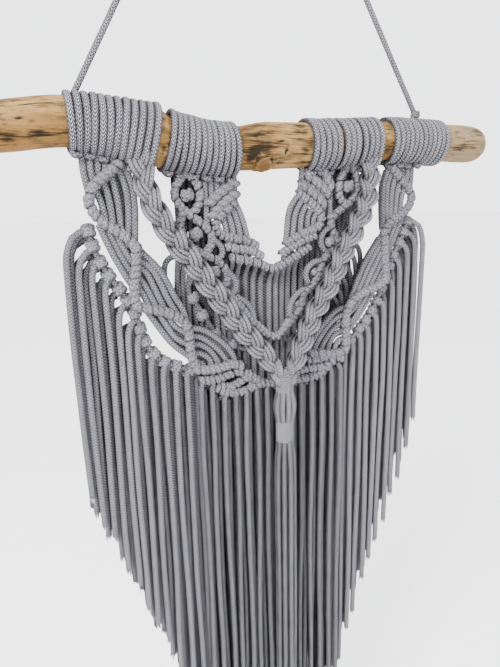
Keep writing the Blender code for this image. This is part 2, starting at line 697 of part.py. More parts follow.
def make_tassel(cotton, group, guides):
    """The gathering wraps, the bulge between them and the tail of cords."""
    core = Cords()
    core.profile([Vector((TASSEL_X, TASSEL_Y, s.z)) for s in TASSEL], [s.radius for s in TASSEL], 10)
    tail = Cords(TWIST)
    for i in range(TAIL_COUNT):
        turn = 2 * math.pi * i / TAIL_COUNT
        x = TASSEL_X + TAIL_RING * math.cos(turn)
        y = TASSEL_Y + TAIL_FLATNESS * TAIL_RING * math.sin(turn)
        foot_x = TASSEL_X + TAIL_FLARE * (x - TASSEL_X)
        top = Vector((x, y, TASSEL[-1].z + 7))
        low = Vector((foot_x, y, TASSEL[-1].z - 22))
        end = Vector((foot_x, y, TAIL_END - HEM_JITTER * math.cos(2 * turn)))
        tail.strand([top, low, end], THIN, 3)
    fuse("plait_tassel", core, tail, cotton, group, guides)


def main():
    """Builds every sub-part."""
    for old in list(bpy.data.objects):
        bpy.data.objects.remove(old)
    group = collection("macrame wall hanging")
    guides = collection("cutters")
    cotton = material("grey_cotton", (0.39, 0.39, 0.42), 0.92)
    wood = material("driftwood", (0.50, 0.33, 0.18), 0.75)
    draw = random.Random(SEED)
    make_stick(wood, group, guides)
    make_wraps(cotton, group, guides)
    make_hanging_cord(cotton, group, guides)
    for side in ("left", "right"):
        make_wing(side, cotton, group, guides)
        make_swag(side, draw, cotton, group, guides)
        make_plait(side, cotton, group, guides)
    make_panel(cotton, group, guides)
    make_base(draw, cotton, group, guides)
    make_tassel(cotton, group, guides)


main()
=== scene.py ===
"""Looks of the grey macrame wall hanging on a driftwood stick.

Every cord is laid as a length of its own, in a layout of millimetres: X across, Y into the wall and
Z up, with X = 0 on the panel's middle line. The nail under the hanging cord's apex is the model's
origin, so a layout place less the nail's place is a place in the model.
"""

from __future__ import annotations

import logging
import math
import random
from dataclasses import dataclass
from enum import Enum
from typing import Callable, ClassVar, Sequence, Union

import bpy
import numpy as np
from bpy.types import Material, Mesh, Node, NodeSocket, Object
from mathutils import Matrix, Vector, noise


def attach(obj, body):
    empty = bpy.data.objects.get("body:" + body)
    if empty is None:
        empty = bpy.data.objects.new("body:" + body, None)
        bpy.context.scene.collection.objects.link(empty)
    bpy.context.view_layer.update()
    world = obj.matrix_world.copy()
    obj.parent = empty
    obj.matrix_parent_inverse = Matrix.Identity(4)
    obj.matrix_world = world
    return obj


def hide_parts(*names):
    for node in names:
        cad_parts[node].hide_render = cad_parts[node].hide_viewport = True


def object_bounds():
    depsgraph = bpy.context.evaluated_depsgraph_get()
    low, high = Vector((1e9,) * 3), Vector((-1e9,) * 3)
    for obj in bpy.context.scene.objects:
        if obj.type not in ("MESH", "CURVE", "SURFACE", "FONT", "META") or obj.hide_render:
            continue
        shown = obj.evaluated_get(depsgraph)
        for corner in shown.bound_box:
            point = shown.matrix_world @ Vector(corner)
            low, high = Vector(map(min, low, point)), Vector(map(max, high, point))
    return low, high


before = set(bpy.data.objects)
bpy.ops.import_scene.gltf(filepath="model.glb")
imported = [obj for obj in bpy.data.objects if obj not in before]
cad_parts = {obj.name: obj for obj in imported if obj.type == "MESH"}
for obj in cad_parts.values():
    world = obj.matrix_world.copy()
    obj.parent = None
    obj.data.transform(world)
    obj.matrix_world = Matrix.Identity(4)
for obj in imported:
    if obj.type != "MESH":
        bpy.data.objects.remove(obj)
CAD_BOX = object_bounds()

LOG = logging.getLogger("macrame")
MM = 0.001
NAIL = np.array([-5.7, 12.0, 374.0])
VIEWER = np.array([0.0, -1.0, 0.0])
BODY = "root"
COTTON_SLOT = "grey_cotton"
WOOD_SLOT = "driftwood"
BRAID_MAP = "braid"
# Each point's tint: tone that differs from cord to cord, the wood's marks, and on the cords their painted
# shade.
TINT_AND_SHADE = "tint"
WORN = "worn"
CURVE_PARTS = 12
FINE_STEP = 1.0
STRAND_STEP = 2.5
LONG_STEP = 6.0
ROUND = 8
FULL_TURN = 2 * math.pi

Spot = tuple[float, float]
Place = tuple[float, float, float]
Line = Sequence[Spot]
Lines = tuple[Line, ...]
Span = tuple[float, float]


class Side(Enum):
    """The two halves of the hanging, as the viewer sees them."""

    LEFT = "left"
    RIGHT = "right"

    def seed(self, left: int) -> int:
        """The left half's seed, or the next one for the right half."""
        return left if self is Side.LEFT else left + 1


class End(Enum):
    """How a cord's end is finished."""

    HIDDEN = "hidden"
    FRAYED = "frayed"


# Lines and sections


def set_at(points: Line, depth: float) -> np.ndarray:
    """Places (x, z) as rows of x, y and z, all at one depth."""
    return np.array([(x, depth, z) for x, z in points], float)


def run_lengths(path: np.ndarray) -> np.ndarray:
    """How far along the line each of its places is."""
    return np.r_[0.0, np.cumsum(np.linalg.norm(np.diff(path, axis=0), axis=1))]


def read_at(at: np.ndarray, runs: np.ndarray, rows: np.ndarray) -> np.ndarray:
    """Rows of x, y and z that stand at these runs along a line, read part-way between them."""
    return np.stack([np.interp(at, runs, rows[:, i]) for i in range(3)], axis=1)


def evenly(path: np.ndarray, step: float) -> np.ndarray:
    """The same line with places an even step apart.

    Args:
        path: the line's places.
        step: the wanted distance between places, in millimetres.

    Returns:
        The new places, ends included.
    """
    runs = run_lengths(path)
    count = max(1, round(runs[-1] / step))
    return read_at(np.linspace(0.0, runs[-1], count + 1), runs, path)


def smooth(points: np.ndarray, step: float) -> np.ndarray:
    """A smooth curve through the given places.

    Args:
        points: the places that the curve passes through.
        step: the distance between the curve's places, in millimetres.

    Returns:
        The curve's places, an even step apart.
    """
    knots = np.asarray(points, float)
    ends = np.vstack([2 * knots[0] - knots[1], knots, 2 * knots[-1] - knots[-2]])
    found = [knots[:1]]
    t = np.linspace(0.0, 1.0, CURVE_PARTS + 1)[1:, None]
    for a, b, c, d in zip(ends, ends[1:], ends[2:], ends[3:]):
        bend = 2 * b + (c - a) * t + (2 * a - 5 * b + 4 * c - d) * t**2 + (3 * b - a - 3 * c + d) * t**3
        found.append(bend / 2)
    return evenly(np.vstack(found), step)


def between(one: np.ndarray, other: np.ndarray, count: int = 6) -> np.ndarray:
    """A line half-way between two lines.

    Args:
        one: the first line's places.
        other: the second line's places.
        count: how many places the new line has.

    Returns:
        The new line's places.
    """
    lines = []
    for path in (one, other):
        curve = smooth(path, FINE_STEP)
        pick = np.linspace(0, len(curve) - 1, count).round().astype(int)
        lines.append(curve[pick])
    return (lines[0] + lines[1]) / 2


def directions(path: np.ndarray) -> np.ndarray:
    """Unit vectors along the line at each of its places."""
    along = np.gradient(path, axis=0)
    return along / np.maximum(np.linalg.norm(along, axis=1, keepdims=True), 1e-9)


def square_to(facing: np.ndarray, along: np.ndarray) -> np.ndarray:
    """The facing vectors made square to the line, as unit vectors.

    Args:
        facing: one vector, or one for each place.
        along: the line's unit vectors.

    Returns:
        A unit vector for each place.
    """
    facing = np.broadcast_to(facing, along.shape)
    flat = facing - along * np.sum(facing * along, axis=1, keepdims=True)
    return flat / np.maximum(np.linalg.norm(flat, axis=1, keepdims=True), 1e-9)


def limited(value: float) -> float:
    """The value kept between 0 and 1."""
    return min(1.0, max(0.0, value))


# Cords as meshes


@dataclass(frozen=True)
class Fray:
    """How the threads of a cut end come apart. A pair holds the least and the most."""

    threads: int = 9
    reach: Span = (0.2, 0.85)
    root: float = 1.5
    length: Span = (2.0, 4.6)
    spread: Span = (0.1, 1.0)
    bow: Span = (-0.2, 0.4)
    radius: Span = (0.45, 0.7)
    taper: tuple[float, float, float] = (1.0, 0.9, 0.45)
    paler: float = 0.2

    def unravel(self, skein: Skein, tip: np.ndarray, along: np.ndarray, radius: float, shade: float) -> None:
        """Adds the loose threads of one cut end.

        Args:
            skein: the piece that the cord belongs to.
            tip: the middle of the cut.
            along: the cord's direction there.
            radius: the cord's radius.
            shade: the cord's tint.
        """
        draw = skein.draw
        for _ in range(self.threads):
            aside = np.array([draw.gauss(0, 1), draw.gauss(0, 1), 0.0])
            aside /= max(np.linalg.norm(aside), 1e-6)
            reach = radius * draw.uniform(*self.reach)
            root = tip - along * self.root + aside * reach
            length = draw.uniform(*self.length)
            foot = tip + along * length + aside * (reach + draw.uniform(*self.spread))
            middle = (root + foot) / 2 + aside * draw.uniform(*self.bow)
            self._thread(skein, np.stack([root, middle, foot]), draw.uniform(*self.radius), shade)

    def _thread(self, skein: Skein, path: np.ndarray, radius: float, shade: float) -> None:
        """Adds one loose thread, three-sided and thinner towards its tip.

        Args:
            skein: the piece that the cord belongs to.
            path: the thread's three places.
            radius: its radius at the root.
            shade: the cord's tint.
        """
        along = directions(path)
        out = square_to(VIEWER, along)
        across = np.cross(along, out)
        turn = np.arange(3) * FULL_TURN / 3
        taper = radius * np.array(self.taper)[:, None]
        ring = path[:, None] + out[:, None] * (taper * np.cos(turn))[..., None]
        ring = ring + across[:, None] * (taper * np.sin(turn))[..., None]
        faces = np.vstack([tube_faces(3, 3), [[2, 1, 0, -1], [6, 7, 8, -1]]])
        faces = faces + skein.total * (faces >= 0)
        corners = int((faces >= 0).sum())
        spots = skein.draw.random() + np.zeros((corners, 2))
        skein.add(ring.reshape(-1, 3), faces, spots, np.full(ring.size // 3, shade + self.paler), 1.0)


def tube_faces(rows: int, sides: int) -> np.ndarray:
    """The faces between the rings of a tube.

    Args:
        rows: how many rings it has.
        sides: how many points each ring has.

    Returns:
        Four point numbers for each face.
    """
    i, j = np.meshgrid(np.arange(rows - 1), np.arange(sides), indexing="ij")
    k = (j + 1) % sides
    near, far = i * sides, (i + 1) * sides
    return np.stack([near + j, near + k, far + k, far + j], -1).reshape(-1, 4)


@dataclass
class Skein:
    """Cords of one piece, swept one by one and then made into one mesh."""

    name: str
    seed: int
    column: float = 1.8
    # How dark the painted shade on each cord's flanks is, where it meets its neighbours.
    flank_shade: float = 2.2
    slide: float = 40.0
    uneven: float = 0.5
    dome: float = 0.3
    frayed: Fray = Fray()

    def __post_init__(self) -> None:
        """Seeds the random draws of this piece, which has no cords yet."""
        self.draw = random.Random(self.seed)
        self.points, self.faces, self.maps, self.tints, self.worns = [], [], [], [], []
        self.total = 0

    def add(self, points: np.ndarray, faces: np.ndarray, spots: np.ndarray, tints: np.ndarray,
            worn: float) -> None:
        """Adds points and the faces on them.

        Args:
            points: places in millimetres.
            faces: four of the skein's point numbers for each face, the last -1 for a triangle.
            spots: the braid's map, a pair for each corner of each face.
            tints: each point's tint.
            worn: how far pulling tight has closed the stitches there.
        """
        self.points.append(points)
        self.faces.append(faces)
        self.maps.append(spots)
        self.tints.append(tints)
        self.worns.append(np.full(len(points), worn))
        self.total += len(points)

    def lay(self, path: np.ndarray, width: float, depth: float | None = None, sides: int = ROUND,
            facing: np.ndarray = VIEWER, end: End = End.HIDDEN, tint: Union[float, np.ndarray] = 0.0,
            squeeze: float = 1.0, worn: float = 0.0) -> None:
        """Sweeps one cord along a line.

        Args:
            path: the cord's middle line, in millimetres.
            width: half its width.
            depth: half its thickness along the facing direction; as wide as width if left out.
            sides: how many faces go round it.
            facing: where its thickness points, once or for each place.
            end: how its last end is finished.
            tint: how much lighter or darker this cord is than the others, once or for each place.
            squeeze: the section's roundness, below 1 where neighbours press it square.
            worn: how far pulling tight has closed its stitches, 0 to 1.
        """
        along = directions(path)
        out = square_to(facing, along)
        across = np.cross(along, out)
        rows = len(path)
        thick = width if depth is None else depth
        turn = np.linspace(0.0, FULL_TURN, sides, endpoint=False) + math.pi
        rise, aside = (np.sign(f) * np.abs(f) ** squeeze for f in (np.cos(turn), np.sin(turn)))
        ring = path[:, None] + out[:, None] * (thick * rise)[:, None]
        ring = ring + across[:, None] * (width * aside)[:, None]
        run = run_lengths(path) + self.draw.uniform(0.0, self.slide)
        girth = FULL_TURN * math.hypot(width, thick) / math.sqrt(2)
        columns = max(3, round(girth / self.column))
        spots = self._spots(run, sides, columns, self.draw.random())
        uneven = self.draw.uniform(-self.uneven, self.uneven)
        shades = np.broadcast_to(np.asarray(tint, float), rows) + uneven
        # Painted shade: each cord is darker on its flanks, where it meets its neighbours.
        tints = np.subtract.outer(shades, self.flank_shade * np.abs(np.sin(turn)) ** 3).ravel()
        start = self.total
        self.add(ring.reshape(-1, 3), tube_faces(rows, sides) + start, spots, tints, worn)
        near = start + np.arange(sides)
        far = near + (rows - 1) * sides
        tips = path[0] - along[0] * self.dome * width, path[-1] + along[-1] * self.dome * width
        self._close(tips[0], np.roll(near, -1), near, run[0], shades[0], worn)
        self._close(tips[1], far, np.roll(far, -1), run[-1], shades[-1], worn)
        if end is End.FRAYED:
            self.frayed.unravel(self, path[-1], along[-1], width, float(shades[-1]))

    @staticmethod
    def _spots(run: np.ndarray, sides: int, columns: int, shift: float) -> np.ndarray:
        """The braid's map of a tube.

        Args:
            run: how far along each ring is.
            sides: how many faces go round.
            columns: how many columns of stitches go round.
            shift: where round the cord the first column starts.

        Returns:
            A pair for each corner of each face.
        """
        i, j = np.meshgrid(np.arange(len(run) - 1), np.arange(sides), indexing="ij")
        u = np.stack([j, j + 1, j + 1, j], -1) / sides * columns + shift
        v = np.stack([run[i], run[i], run[i + 1], run[i + 1]], -1)
        return np.stack([u, v], -1).reshape(-1, 2)

    def _close(self, tip: np.ndarray, one: np.ndarray, other: np.ndarray, run: float, shade: float,
               worn: float) -> None:
        """Closes an end of a cord with a low dome.

        Args:
            tip: the dome's top.
            one: the end ring's points, in turn.
            other: each one's neighbour, in the order that faces out.
            run: the place along the cord, for its map.
            shade: the cord's tint.
            worn: how worn the cord is.
        """
        sides = len(one)
        fan = np.stack([one, other, np.full(sides, self.total), np.full(sides, -1)], -1)
        j = np.arange(sides)
        turn = np.stack([j, j + 1, j + 0.5], -1) / sides
        spots = np.stack([turn, np.full_like(turn, run)], -1).reshape(-1, 2)
        self.add(tip[None], fan, spots, np.array([shade]), worn)

    def mesh(self) -> Mesh:
        """All cords as one mesh in metres, shaded smooth.

        Returns:
            The mesh, with the braid's map, each cord's tint and how worn it is.
        """
        points = (np.vstack(self.points) - NAIL) * MM
        faces = np.vstack(self.faces)
        sizes = (faces >= 0).sum(axis=1)
        corners = faces[faces >= 0]
        made = bpy.data.meshes.new(self.name)
        made.vertices.add(len(points))
        made.vertices.foreach_set("co", points.astype(np.float32).ravel())
        made.loops.add(len(corners))
        made.loops.foreach_set("vertex_index", corners.astype(np.int32))
        made.polygons.add(len(faces))
        made.polygons.foreach_set("loop_start", np.r_[0, np.cumsum(sizes)[:-1]].astype(np.int32))
        made.polygons.foreach_set("use_smooth", np.ones(len(faces), bool))
        layer = made.uv_layers.new(name=BRAID_MAP)
        layer.uv.foreach_set("vector", np.vstack(self.maps).astype(np.float32).ravel())
        for name, values in ((TINT_AND_SHADE, self.tints), (WORN, self.worns)):
            mark(made, name, np.hstack(values))
        made.update()
        made.validate()
        return made


def mark(mesh: Mesh, name: str, values: np.ndarray) -> None:
    """Gives each of a mesh's points a value that its material reads by name."""
    mesh.attributes.new(name, "FLOAT", "POINT").data.foreach_set("value", values.astype(np.float32))


def dress(mesh: Mesh, finish: Material, slot: str, *nodes: str) -> Object:
    """Puts a mesh in the scene as a piece of the object.

    Args:
        mesh: the piece's mesh, in the model's frame.
        finish: its material.
        slot: the record's material slot; not used.
        nodes: the solids that it stands for.

    Returns:
        The piece.
    """
    mesh.materials.clear()
    mesh.materials.append(finish)
    piece = bpy.data.objects.new(mesh.name, mesh)
    bpy.context.scene.collection.objects.link(piece)
    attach(piece, BODY)
    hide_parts(*nodes)
    LOG.info("%s: %d faces, for %s", piece.name, len(mesh.polygons), ", ".join(nodes))
    return piece


# Knots


@dataclass(frozen=True)
class HalfHitches:
    """A row of half hitches: a cord wound round a core, each turn pressed against the next."""

    pitch: float = 4.1
    reach: float = 2.2
    lift: float = 2.0
    half_width: float = 2.5
    half_depth: float = 1.75
    core: float = 2.4
    core_share: Span = (0.9, 0.8)
    core_sides: int = 6
    slant: float = 1.3
    shadow: float = 2.4
    worn: float = 0.7
    unevenness: float = 0.1
    shift: float = 0.08
    stagger: float = 0.06
    steps: int = 14

    def tie(self, skein: Skein, points: np.ndarray, tint: float = 0.0) -> None:
        """Lays the row along a line.

        Args:
            skein: the piece that the row belongs to.
            points: places that the row passes through.
            tint: how much lighter or darker it is.
        """
        core = smooth(points, FINE_STEP)
        width, depth = (self.core * share for share in self.core_share)
        skein.lay(core[::2], width, depth, self.core_sides, tint=tint)
        wound, out = self.wind(core, skein.draw)
        under = 0.5 + 0.5 * np.clip(out[:, 1] / self.lift, -1, 1)
        shades = tint - self.shadow * under
        skein.lay(wound, self.half_width, self.half_depth, facing=out, tint=shades, worn=self.worn)

    def wind(self, core: np.ndarray, draw: random.Random) -> tuple[np.ndarray, np.ndarray]:
        """The wound cord's middle line.

        Args:
            core: the line that it winds round.
            draw: the piece's random draws.

        Returns:
            The middle line, and the direction away from the core at each place.
        """
        runs = run_lengths(core)
        turns = max(1, round(runs[-1] / self.pitch))
        angle = np.linspace(-math.pi, math.pi * (2 * turns - 1), turns * self.steps + 1)
        turn = np.minimum(np.floor((angle + math.pi) / FULL_TURN), turns - 1)
        local = angle - FULL_TURN * turn
        turn = turn.astype(int)
        behind = np.sign(local) * np.clip((np.abs(local) - math.pi / 2) / (math.pi / 2), 0, 1) / 2
        travel = self.slant * local / FULL_TURN + (1 - self.slant) * behind
        least, most = 1 - self.unevenness, 1 + self.unevenness
        uneven = np.array([draw.uniform(least, most) for _ in range(turns)])[turn]
        shifts = np.array([draw.uniform(-self.shift, self.shift) + (self.stagger if i % 2 else -self.stagger)
                           for i in range(turns)])[turn]
        at = (turn + 0.5 + travel + shifts * (1 - 2 * abs(behind))) * runs[-1] / turns
        along = read_at(at, runs, directions(core))
        front = square_to(VIEWER, along)
        across = np.cross(along, front)
        fade = 1 + (uneven - 1) * (0.5 + 0.5 * np.cos(local))
        away = front * (self.lift * fade * np.cos(angle))[:, None]
        away = away + across * (self.reach * fade * np.sin(angle))[:, None]
        return read_at(at, runs, core) + away, away


@dataclass(frozen=True)
class BerryKnot:
    """A round knot: turns of cord stacked up into a ball."""

    turns: float = 3.0
    half_width: float = 2.1
    half_cord: float = 1.9
    steepness: float = 1.7
    least: float = 0.05
    height: float = 0.95
    facing_up: float = 0.6
    stem: float = 0.8
    stem_sides: int = 6
    worn: float = 0.7
    steps: int = 14

    def tie(self, skein: Skein, place: np.ndarray, radius: float, lean: float = 0.0) -> None:
        """Lays the knot round a place.

        Args:
            skein: the piece that it belongs to.
            place: its middle.
            radius: its outer radius.
            lean: how far its upright leans, in radians.
        """
        angle = np.linspace(0.0, FULL_TURN * self.turns, round(self.turns * self.steps) + 1)
        share = angle / angle[-1]
        inner = radius - self.half_cord
        ball = inner * np.sqrt(np.clip(1 - (self.steepness * (share - 0.5)) ** 2, self.least, 1))
        height = (0.5 - share) * 2 * inner * self.height
        x = ball * np.sin(angle)
        y = -ball * np.cos(angle)
        away = np.stack([x, y, self.facing_up * height], 1)
        turned = np.stack([x * math.cos(lean) - height * math.sin(lean), y,
                           x * math.sin(lean) + height * math.cos(lean)], 1)
        skein.lay(place + turned, self.half_width, self.half_cord, facing=away, worn=self.worn)
        stem = np.array([[0, 0, inner], [0, 0, 0], [0, 0, -inner]], float)
        skein.lay(place + stem, inner * self.stem, sides=self.stem_sides)


@dataclass(frozen=True)
class LarksHead:
    """A lark's head on a holding cord: two turns side by side."""

    spread: float = 2.0
    reach: float = 3.2
    flatness: float = 0.85
    half_width: float = 2.3
    half_depth: float = 1.8
    lean: float = 0.945
    worn: float = 0.6
    steps: int = 14

    def tie(self, skein: Skein, place: np.ndarray, along: np.ndarray) -> None:
        """Lays the knot round the holding cord.

        Args:
            skein: the piece that it belongs to.
            place: its middle, on the holding cord.
            along: the holding cord's direction.
        """
        front = square_to(VIEWER, along[None])[0]
        across = np.cross(along, front)
        angle = np.linspace(-math.pi, math.pi, self.steps + 1)
        away = np.outer(np.cos(angle), front) * self.reach * self.flatness
        away = away + np.outer(np.sin(angle), across) * self.reach
        for side in (-1, 1):
            lean = self.lean * np.cos(angle) * -side
            ring = place + along * (side * self.spread) + np.outer(lean, along)
            skein.lay(ring + away, self.half_width, self.half_depth, facing=away, worn=self.worn)


# Shaders


def operator(operation: str, swapped: bool = False) -> Callable[..., Wire]:
    """A method that adds a Math node on the wire and the other values.

    Args:
        operation: the node's operation.
        swapped: whether the wire comes last, as in a reflected form.

    Returns:
        The method.
    """

    def method(wire: Wire, *others: Value) -> Wire:
        """Adds the node and returns its result."""
        return wire.tree.maths(operation, *((*others, wire) if swapped else (wire, *others)))

    return method


class Wire:
    """A socket in a shader expression; each operator adds the node that works it out."""

    __add__ = __radd__ = operator("ADD")
    __sub__, __rsub__ = operator("SUBTRACT"), operator("SUBTRACT", swapped=True)
    __mul__ = __rmul__ = operator("MULTIPLY")
    __truediv__, __pow__, __abs__ = map(operator, ("DIVIDE", "POWER", "ABSOLUTE"))
    fract, sine, cosine = map(operator, ("FRACT", "SINE", "COSINE"))

    def __init__(self, tree: Shading, socket: NodeSocket) -> None:
        """Keeps the socket and the tree that it is in."""
        self.tree = tree
        self.socket = socket

    def ramp(self, low: float, high: float) -> Wire:
        """A smooth step from 0 at low to 1 at high."""
        settings = {"interpolation_type": "SMOOTHSTEP"}
        node = self.tree.node("ShaderNodeMapRange", settings, Value=self, From_Min=low, From_Max=high)
        return Wire(self.tree, node.outputs["Result"])


Value = Union[Wire, float]
Colour = tuple[float, float, float]


@dataclass(frozen=True)
class Grain:
    """One noise: how fine it is, its finer layers and how far they are drawn out."""

    scale: float
    detail: float = 3.0
    roughness: float = 0.55
    stretch: Place = (1.0, 1.0, 1.0)


class Shading:
    """The node tree of one material."""

    def __init__(self, name: str) -> None:
        """Starts a material with a Principled shader."""
        self.material = bpy.data.materials.new(name)
        self.material.use_nodes = True
        self.tree = self.material.node_tree
        self.surface = self.tree.nodes["Principled BSDF"]

    def node(self, kind: str, settings: dict | None = None, **sockets: object) -> Node:
        """Adds a node.

        Args:
            kind: the node's type.
            settings: its own settings, set first.
            sockets: values or links by socket name, with _ for a space.

        Returns:
            The node.
        """
        made = self.tree.nodes.new(kind)
        for key, value in (settings or {}).items():
            setattr(made, key, value)
        for key, value in sockets.items():
            self.plug(made.inputs[key.replace("_", " ")], value)
        return made

    def plug(self, target: NodeSocket, value: object) -> None:
        """Links a wire to a socket, or sets the socket's value.

        Args:
            target: the socket.
            value: a wire, a number, a vector or a colour.
        """
        if isinstance(value, Wire):
            self.tree.links.new(value.socket, target)
        elif isinstance(value, tuple) and target.type == "RGBA":
            target.default_value = (*value, 1.0)
        else:
            target.default_value = value

    def maths(self, operation: str, *values: Value) -> Wire:
        """A Math node on values.

        Args:
            operation: the node's operation.
            values: wires or numbers.

        Returns:
            Its result.
        """
        made = self.node("ShaderNodeMath", {"operation": operation})
        for target, value in zip(made.inputs, values):
            self.plug(target, value)
        return Wire(self, made.outputs[0])

    def mix(self, share: Value, first: Union[Wire, Colour], second: Union[Wire, Colour],
            blend: str = "MIX") -> Wire:
        """A colour between two colours.

        Args:
            share: how much of the second colour.
            first: a colour or a wire.
            second: a colour or a wire.
            blend: the way they are mixed.

        Returns:
            The mixed colour.
        """
        made = self.node("ShaderNodeMix", {"data_type": "RGBA", "blend_type": blend})
        for socket, value in ((0, share), (6, first), (7, second)):
            self.plug(made.inputs[socket], value)
        return Wire(self, made.outputs[2])

    def darken(self, colour: Wire, tone: Wire) -> Wire:
        """The colour times a grey, which is 1 where the colour stays as it is."""
        grey = self.node("ShaderNodeCombineColor", None, Red=tone, Green=tone, Blue=tone).outputs["Color"]
        return self.mix(1.0, colour, Wire(self, grey), "MULTIPLY")

    def read(self, name: str) -> Wire:
        """The value that each point of the mesh has under this name."""
        return Wire(self, self.node("ShaderNodeAttribute", {"attribute_name": name}).outputs["Fac"])

    def noise(self, grain: Grain) -> Wire:
        """The grain's noise at the point, between 0 and 1."""
        made = self.node("ShaderNodeTexNoise", None, Vector=self.place(grain.stretch), Scale=grain.scale,
                         Detail=grain.detail, Roughness=grain.roughness)
        return Wire(self, made.outputs["Fac"])

    def place(self, stretch: Place = (1.0, 1.0, 1.0)) -> Wire:
        """The point's place in the model, stretched along the axes."""
        spot = self.node("ShaderNodeTexCoord").outputs["Object"]
        made = self.node("ShaderNodeMapping", None, Vector=Wire(self, spot), Scale=stretch)
        return Wire(self, made.outputs["Vector"])

    def split(self, vector: Wire) -> tuple[Wire, Wire]:
        """The vector's first two values."""
        made = self.node("ShaderNodeSeparateXYZ", None, Vector=vector)
        return Wire(self, made.outputs["X"]), Wire(self, made.outputs["Y"])

    def braid(self) -> tuple[Wire, Wire]:
        """Where the point is on its cord: the column round it, and the run along it."""
        return self.split(Wire(self, self.node("ShaderNodeUVMap", {"uv_map": BRAID_MAP}).outputs["UV"]))

    def finish(self, colour: Wire, roughness: Value, height: Wire, relief: float,
               **fixed: float) -> Material:
        """Feeds the Principled shader.

        Args:
            colour: the base colour.
            roughness: the roughness.
            height: the height of the relief, 0 to 1.
            relief: how deep the relief is, in metres.
            fixed: other sockets' values.

        Returns:
            The material.
        """
        bump = self.node("ShaderNodeBump", None, Height=height, Distance=relief, Strength=1.0)
        normal = Wire(self, bump.outputs["Normal"])
        sockets = {"Base Color": colour, "Roughness": roughness, "Normal": normal}
        for key, value in (sockets | fixed).items():
            self.plug(self.surface.inputs[key.replace("_", " ")], value)
        return self.material


@dataclass(frozen=True)
class Cotton:
    """What all cotton of this piece shares: how dull it is, and its fuzz."""

    roughness: float = 0.95
    specular: float = 0.08
    # How strongly each point's tint and painted shade change the colour.
    tint_and_shade_share: float = 0.16
    fuzz: Grain = Grain(2600.0, 2.0, 0.6)


@dataclass(frozen=True)
class BraidedCotton(Cotton):
    """Knitted cotton cord: columns of V stitches, with painted shade in the hollows between them."""

    name: str = "braided_cotton"
    light: Colour = (0.458, 0.449, 0.488)
    # The painted shade's colour, in the hollows between stitches.
    dark: Colour = (0.010, 0.010, 0.013)
    stitch: float = 2.2
    rise: float = 1.7
    leg_power: float = 0.4
    leg_base: float = 0.3
    hollow_shade_from: float = 0.3
    deepest_shade: float = 0.96
    worn_hollow_shade: float = 0.4
    worn_even_shade: float = 0.19
    patchy: float = 0.3
    fuzzy: float = 0.4
    flecked: float = 1.1
    knit_share: float = 0.85
    depth: float = 0.0012
    patch: Grain = Grain(60.0, 2.0)
    fleck: Grain = Grain(1000.0, 1.0)

    def build(self) -> Material:
        """Makes the cord's material.

        Returns:
            The material.
        """
        shade = Shading(self.name)
        around, run = shade.braid()
        off_middle = abs(around.fract() - 0.5) * 2.0
        leg = (off_middle * math.pi).sine()
        other_row = (around / 2.0).fract().ramp(0.499, 0.501) * 0.5
        phase = run / self.stitch - off_middle * self.rise / 2.0 + other_row
        knit = (phase * FULL_TURN).cosine() * 0.5 + 0.5
        height = leg ** self.leg_power * (self.leg_base + (1 - self.leg_base) * knit)
        # Painted shade: the hollows between stitches are darkened; where pulling tight has closed the
        # stitches there is less of it, and an even painted shade instead.
        hollow_shade = 1.0 - height.ramp(self.hollow_shade_from, 1.0)
        worn = shade.read(WORN)
        share = hollow_shade * (self.deepest_shade - worn * self.worn_hollow_shade) + worn * self.worn_even_shade
        fuzz = shade.noise(self.fuzz)
        # Each point's tint and painted shade, and noise, make the colour lighter or darker.
        tone = 1.0 + shade.read(TINT_AND_SHADE) * self.tint_and_shade_share + (shade.noise(self.patch) - 0.5) * self.patchy
        tone = tone + (fuzz - 0.5) * self.fuzzy + (shade.noise(self.fleck) - 0.5) * self.flecked
        colour = shade.darken(shade.mix(share, self.light, self.dark), tone)
        relief = height * self.knit_share + fuzz * (1 - self.knit_share)
        return shade.finish(colour, self.roughness, relief, self.depth, Specular_IOR_Level=self.specular)


@dataclass(frozen=True)
class FineYarn(Cotton):
    """Thin twisted yarn of the tassel's gathering wraps, with painted shade in the grooves of its twist."""

    name: str = "fine_yarn"
    light: Colour = (0.275, 0.272, 0.295)
    # The painted shade's colour, in the twist's grooves.
    dark: Colour = (0.035, 0.035, 0.04)
    lay_length: float = 1.1
    twist_share: float = 0.7
    depth: float = 0.0003

    def build(self) -> Material:
        """Makes the yarn's material.

        Returns:
            The material.
        """
        shade = Shading(self.name)
        around, run = shade.braid()
        twist = ((around + run / self.lay_length) * FULL_TURN).sine() * 0.5 + 0.5
        height = twist * self.twist_share + shade.noise(self.fuzz) * (1 - self.twist_share)
        # Painted shade: the twist's grooves are darkened.
        colour = shade.mix(1.0 - height, self.light, self.dark)
        colour = shade.darken(colour, 1.0 + shade.read(TINT_AND_SHADE) * self.tint_and_shade_share)
        return shade.finish(colour, self.roughness, height, self.depth, Specular_IOR_Level=self.specular)


@dataclass(frozen=True)
class Coat:
    """A colour laid over the wood where one of its grains is high."""

    grain: str
    span: Span
    share: float
    colour: str


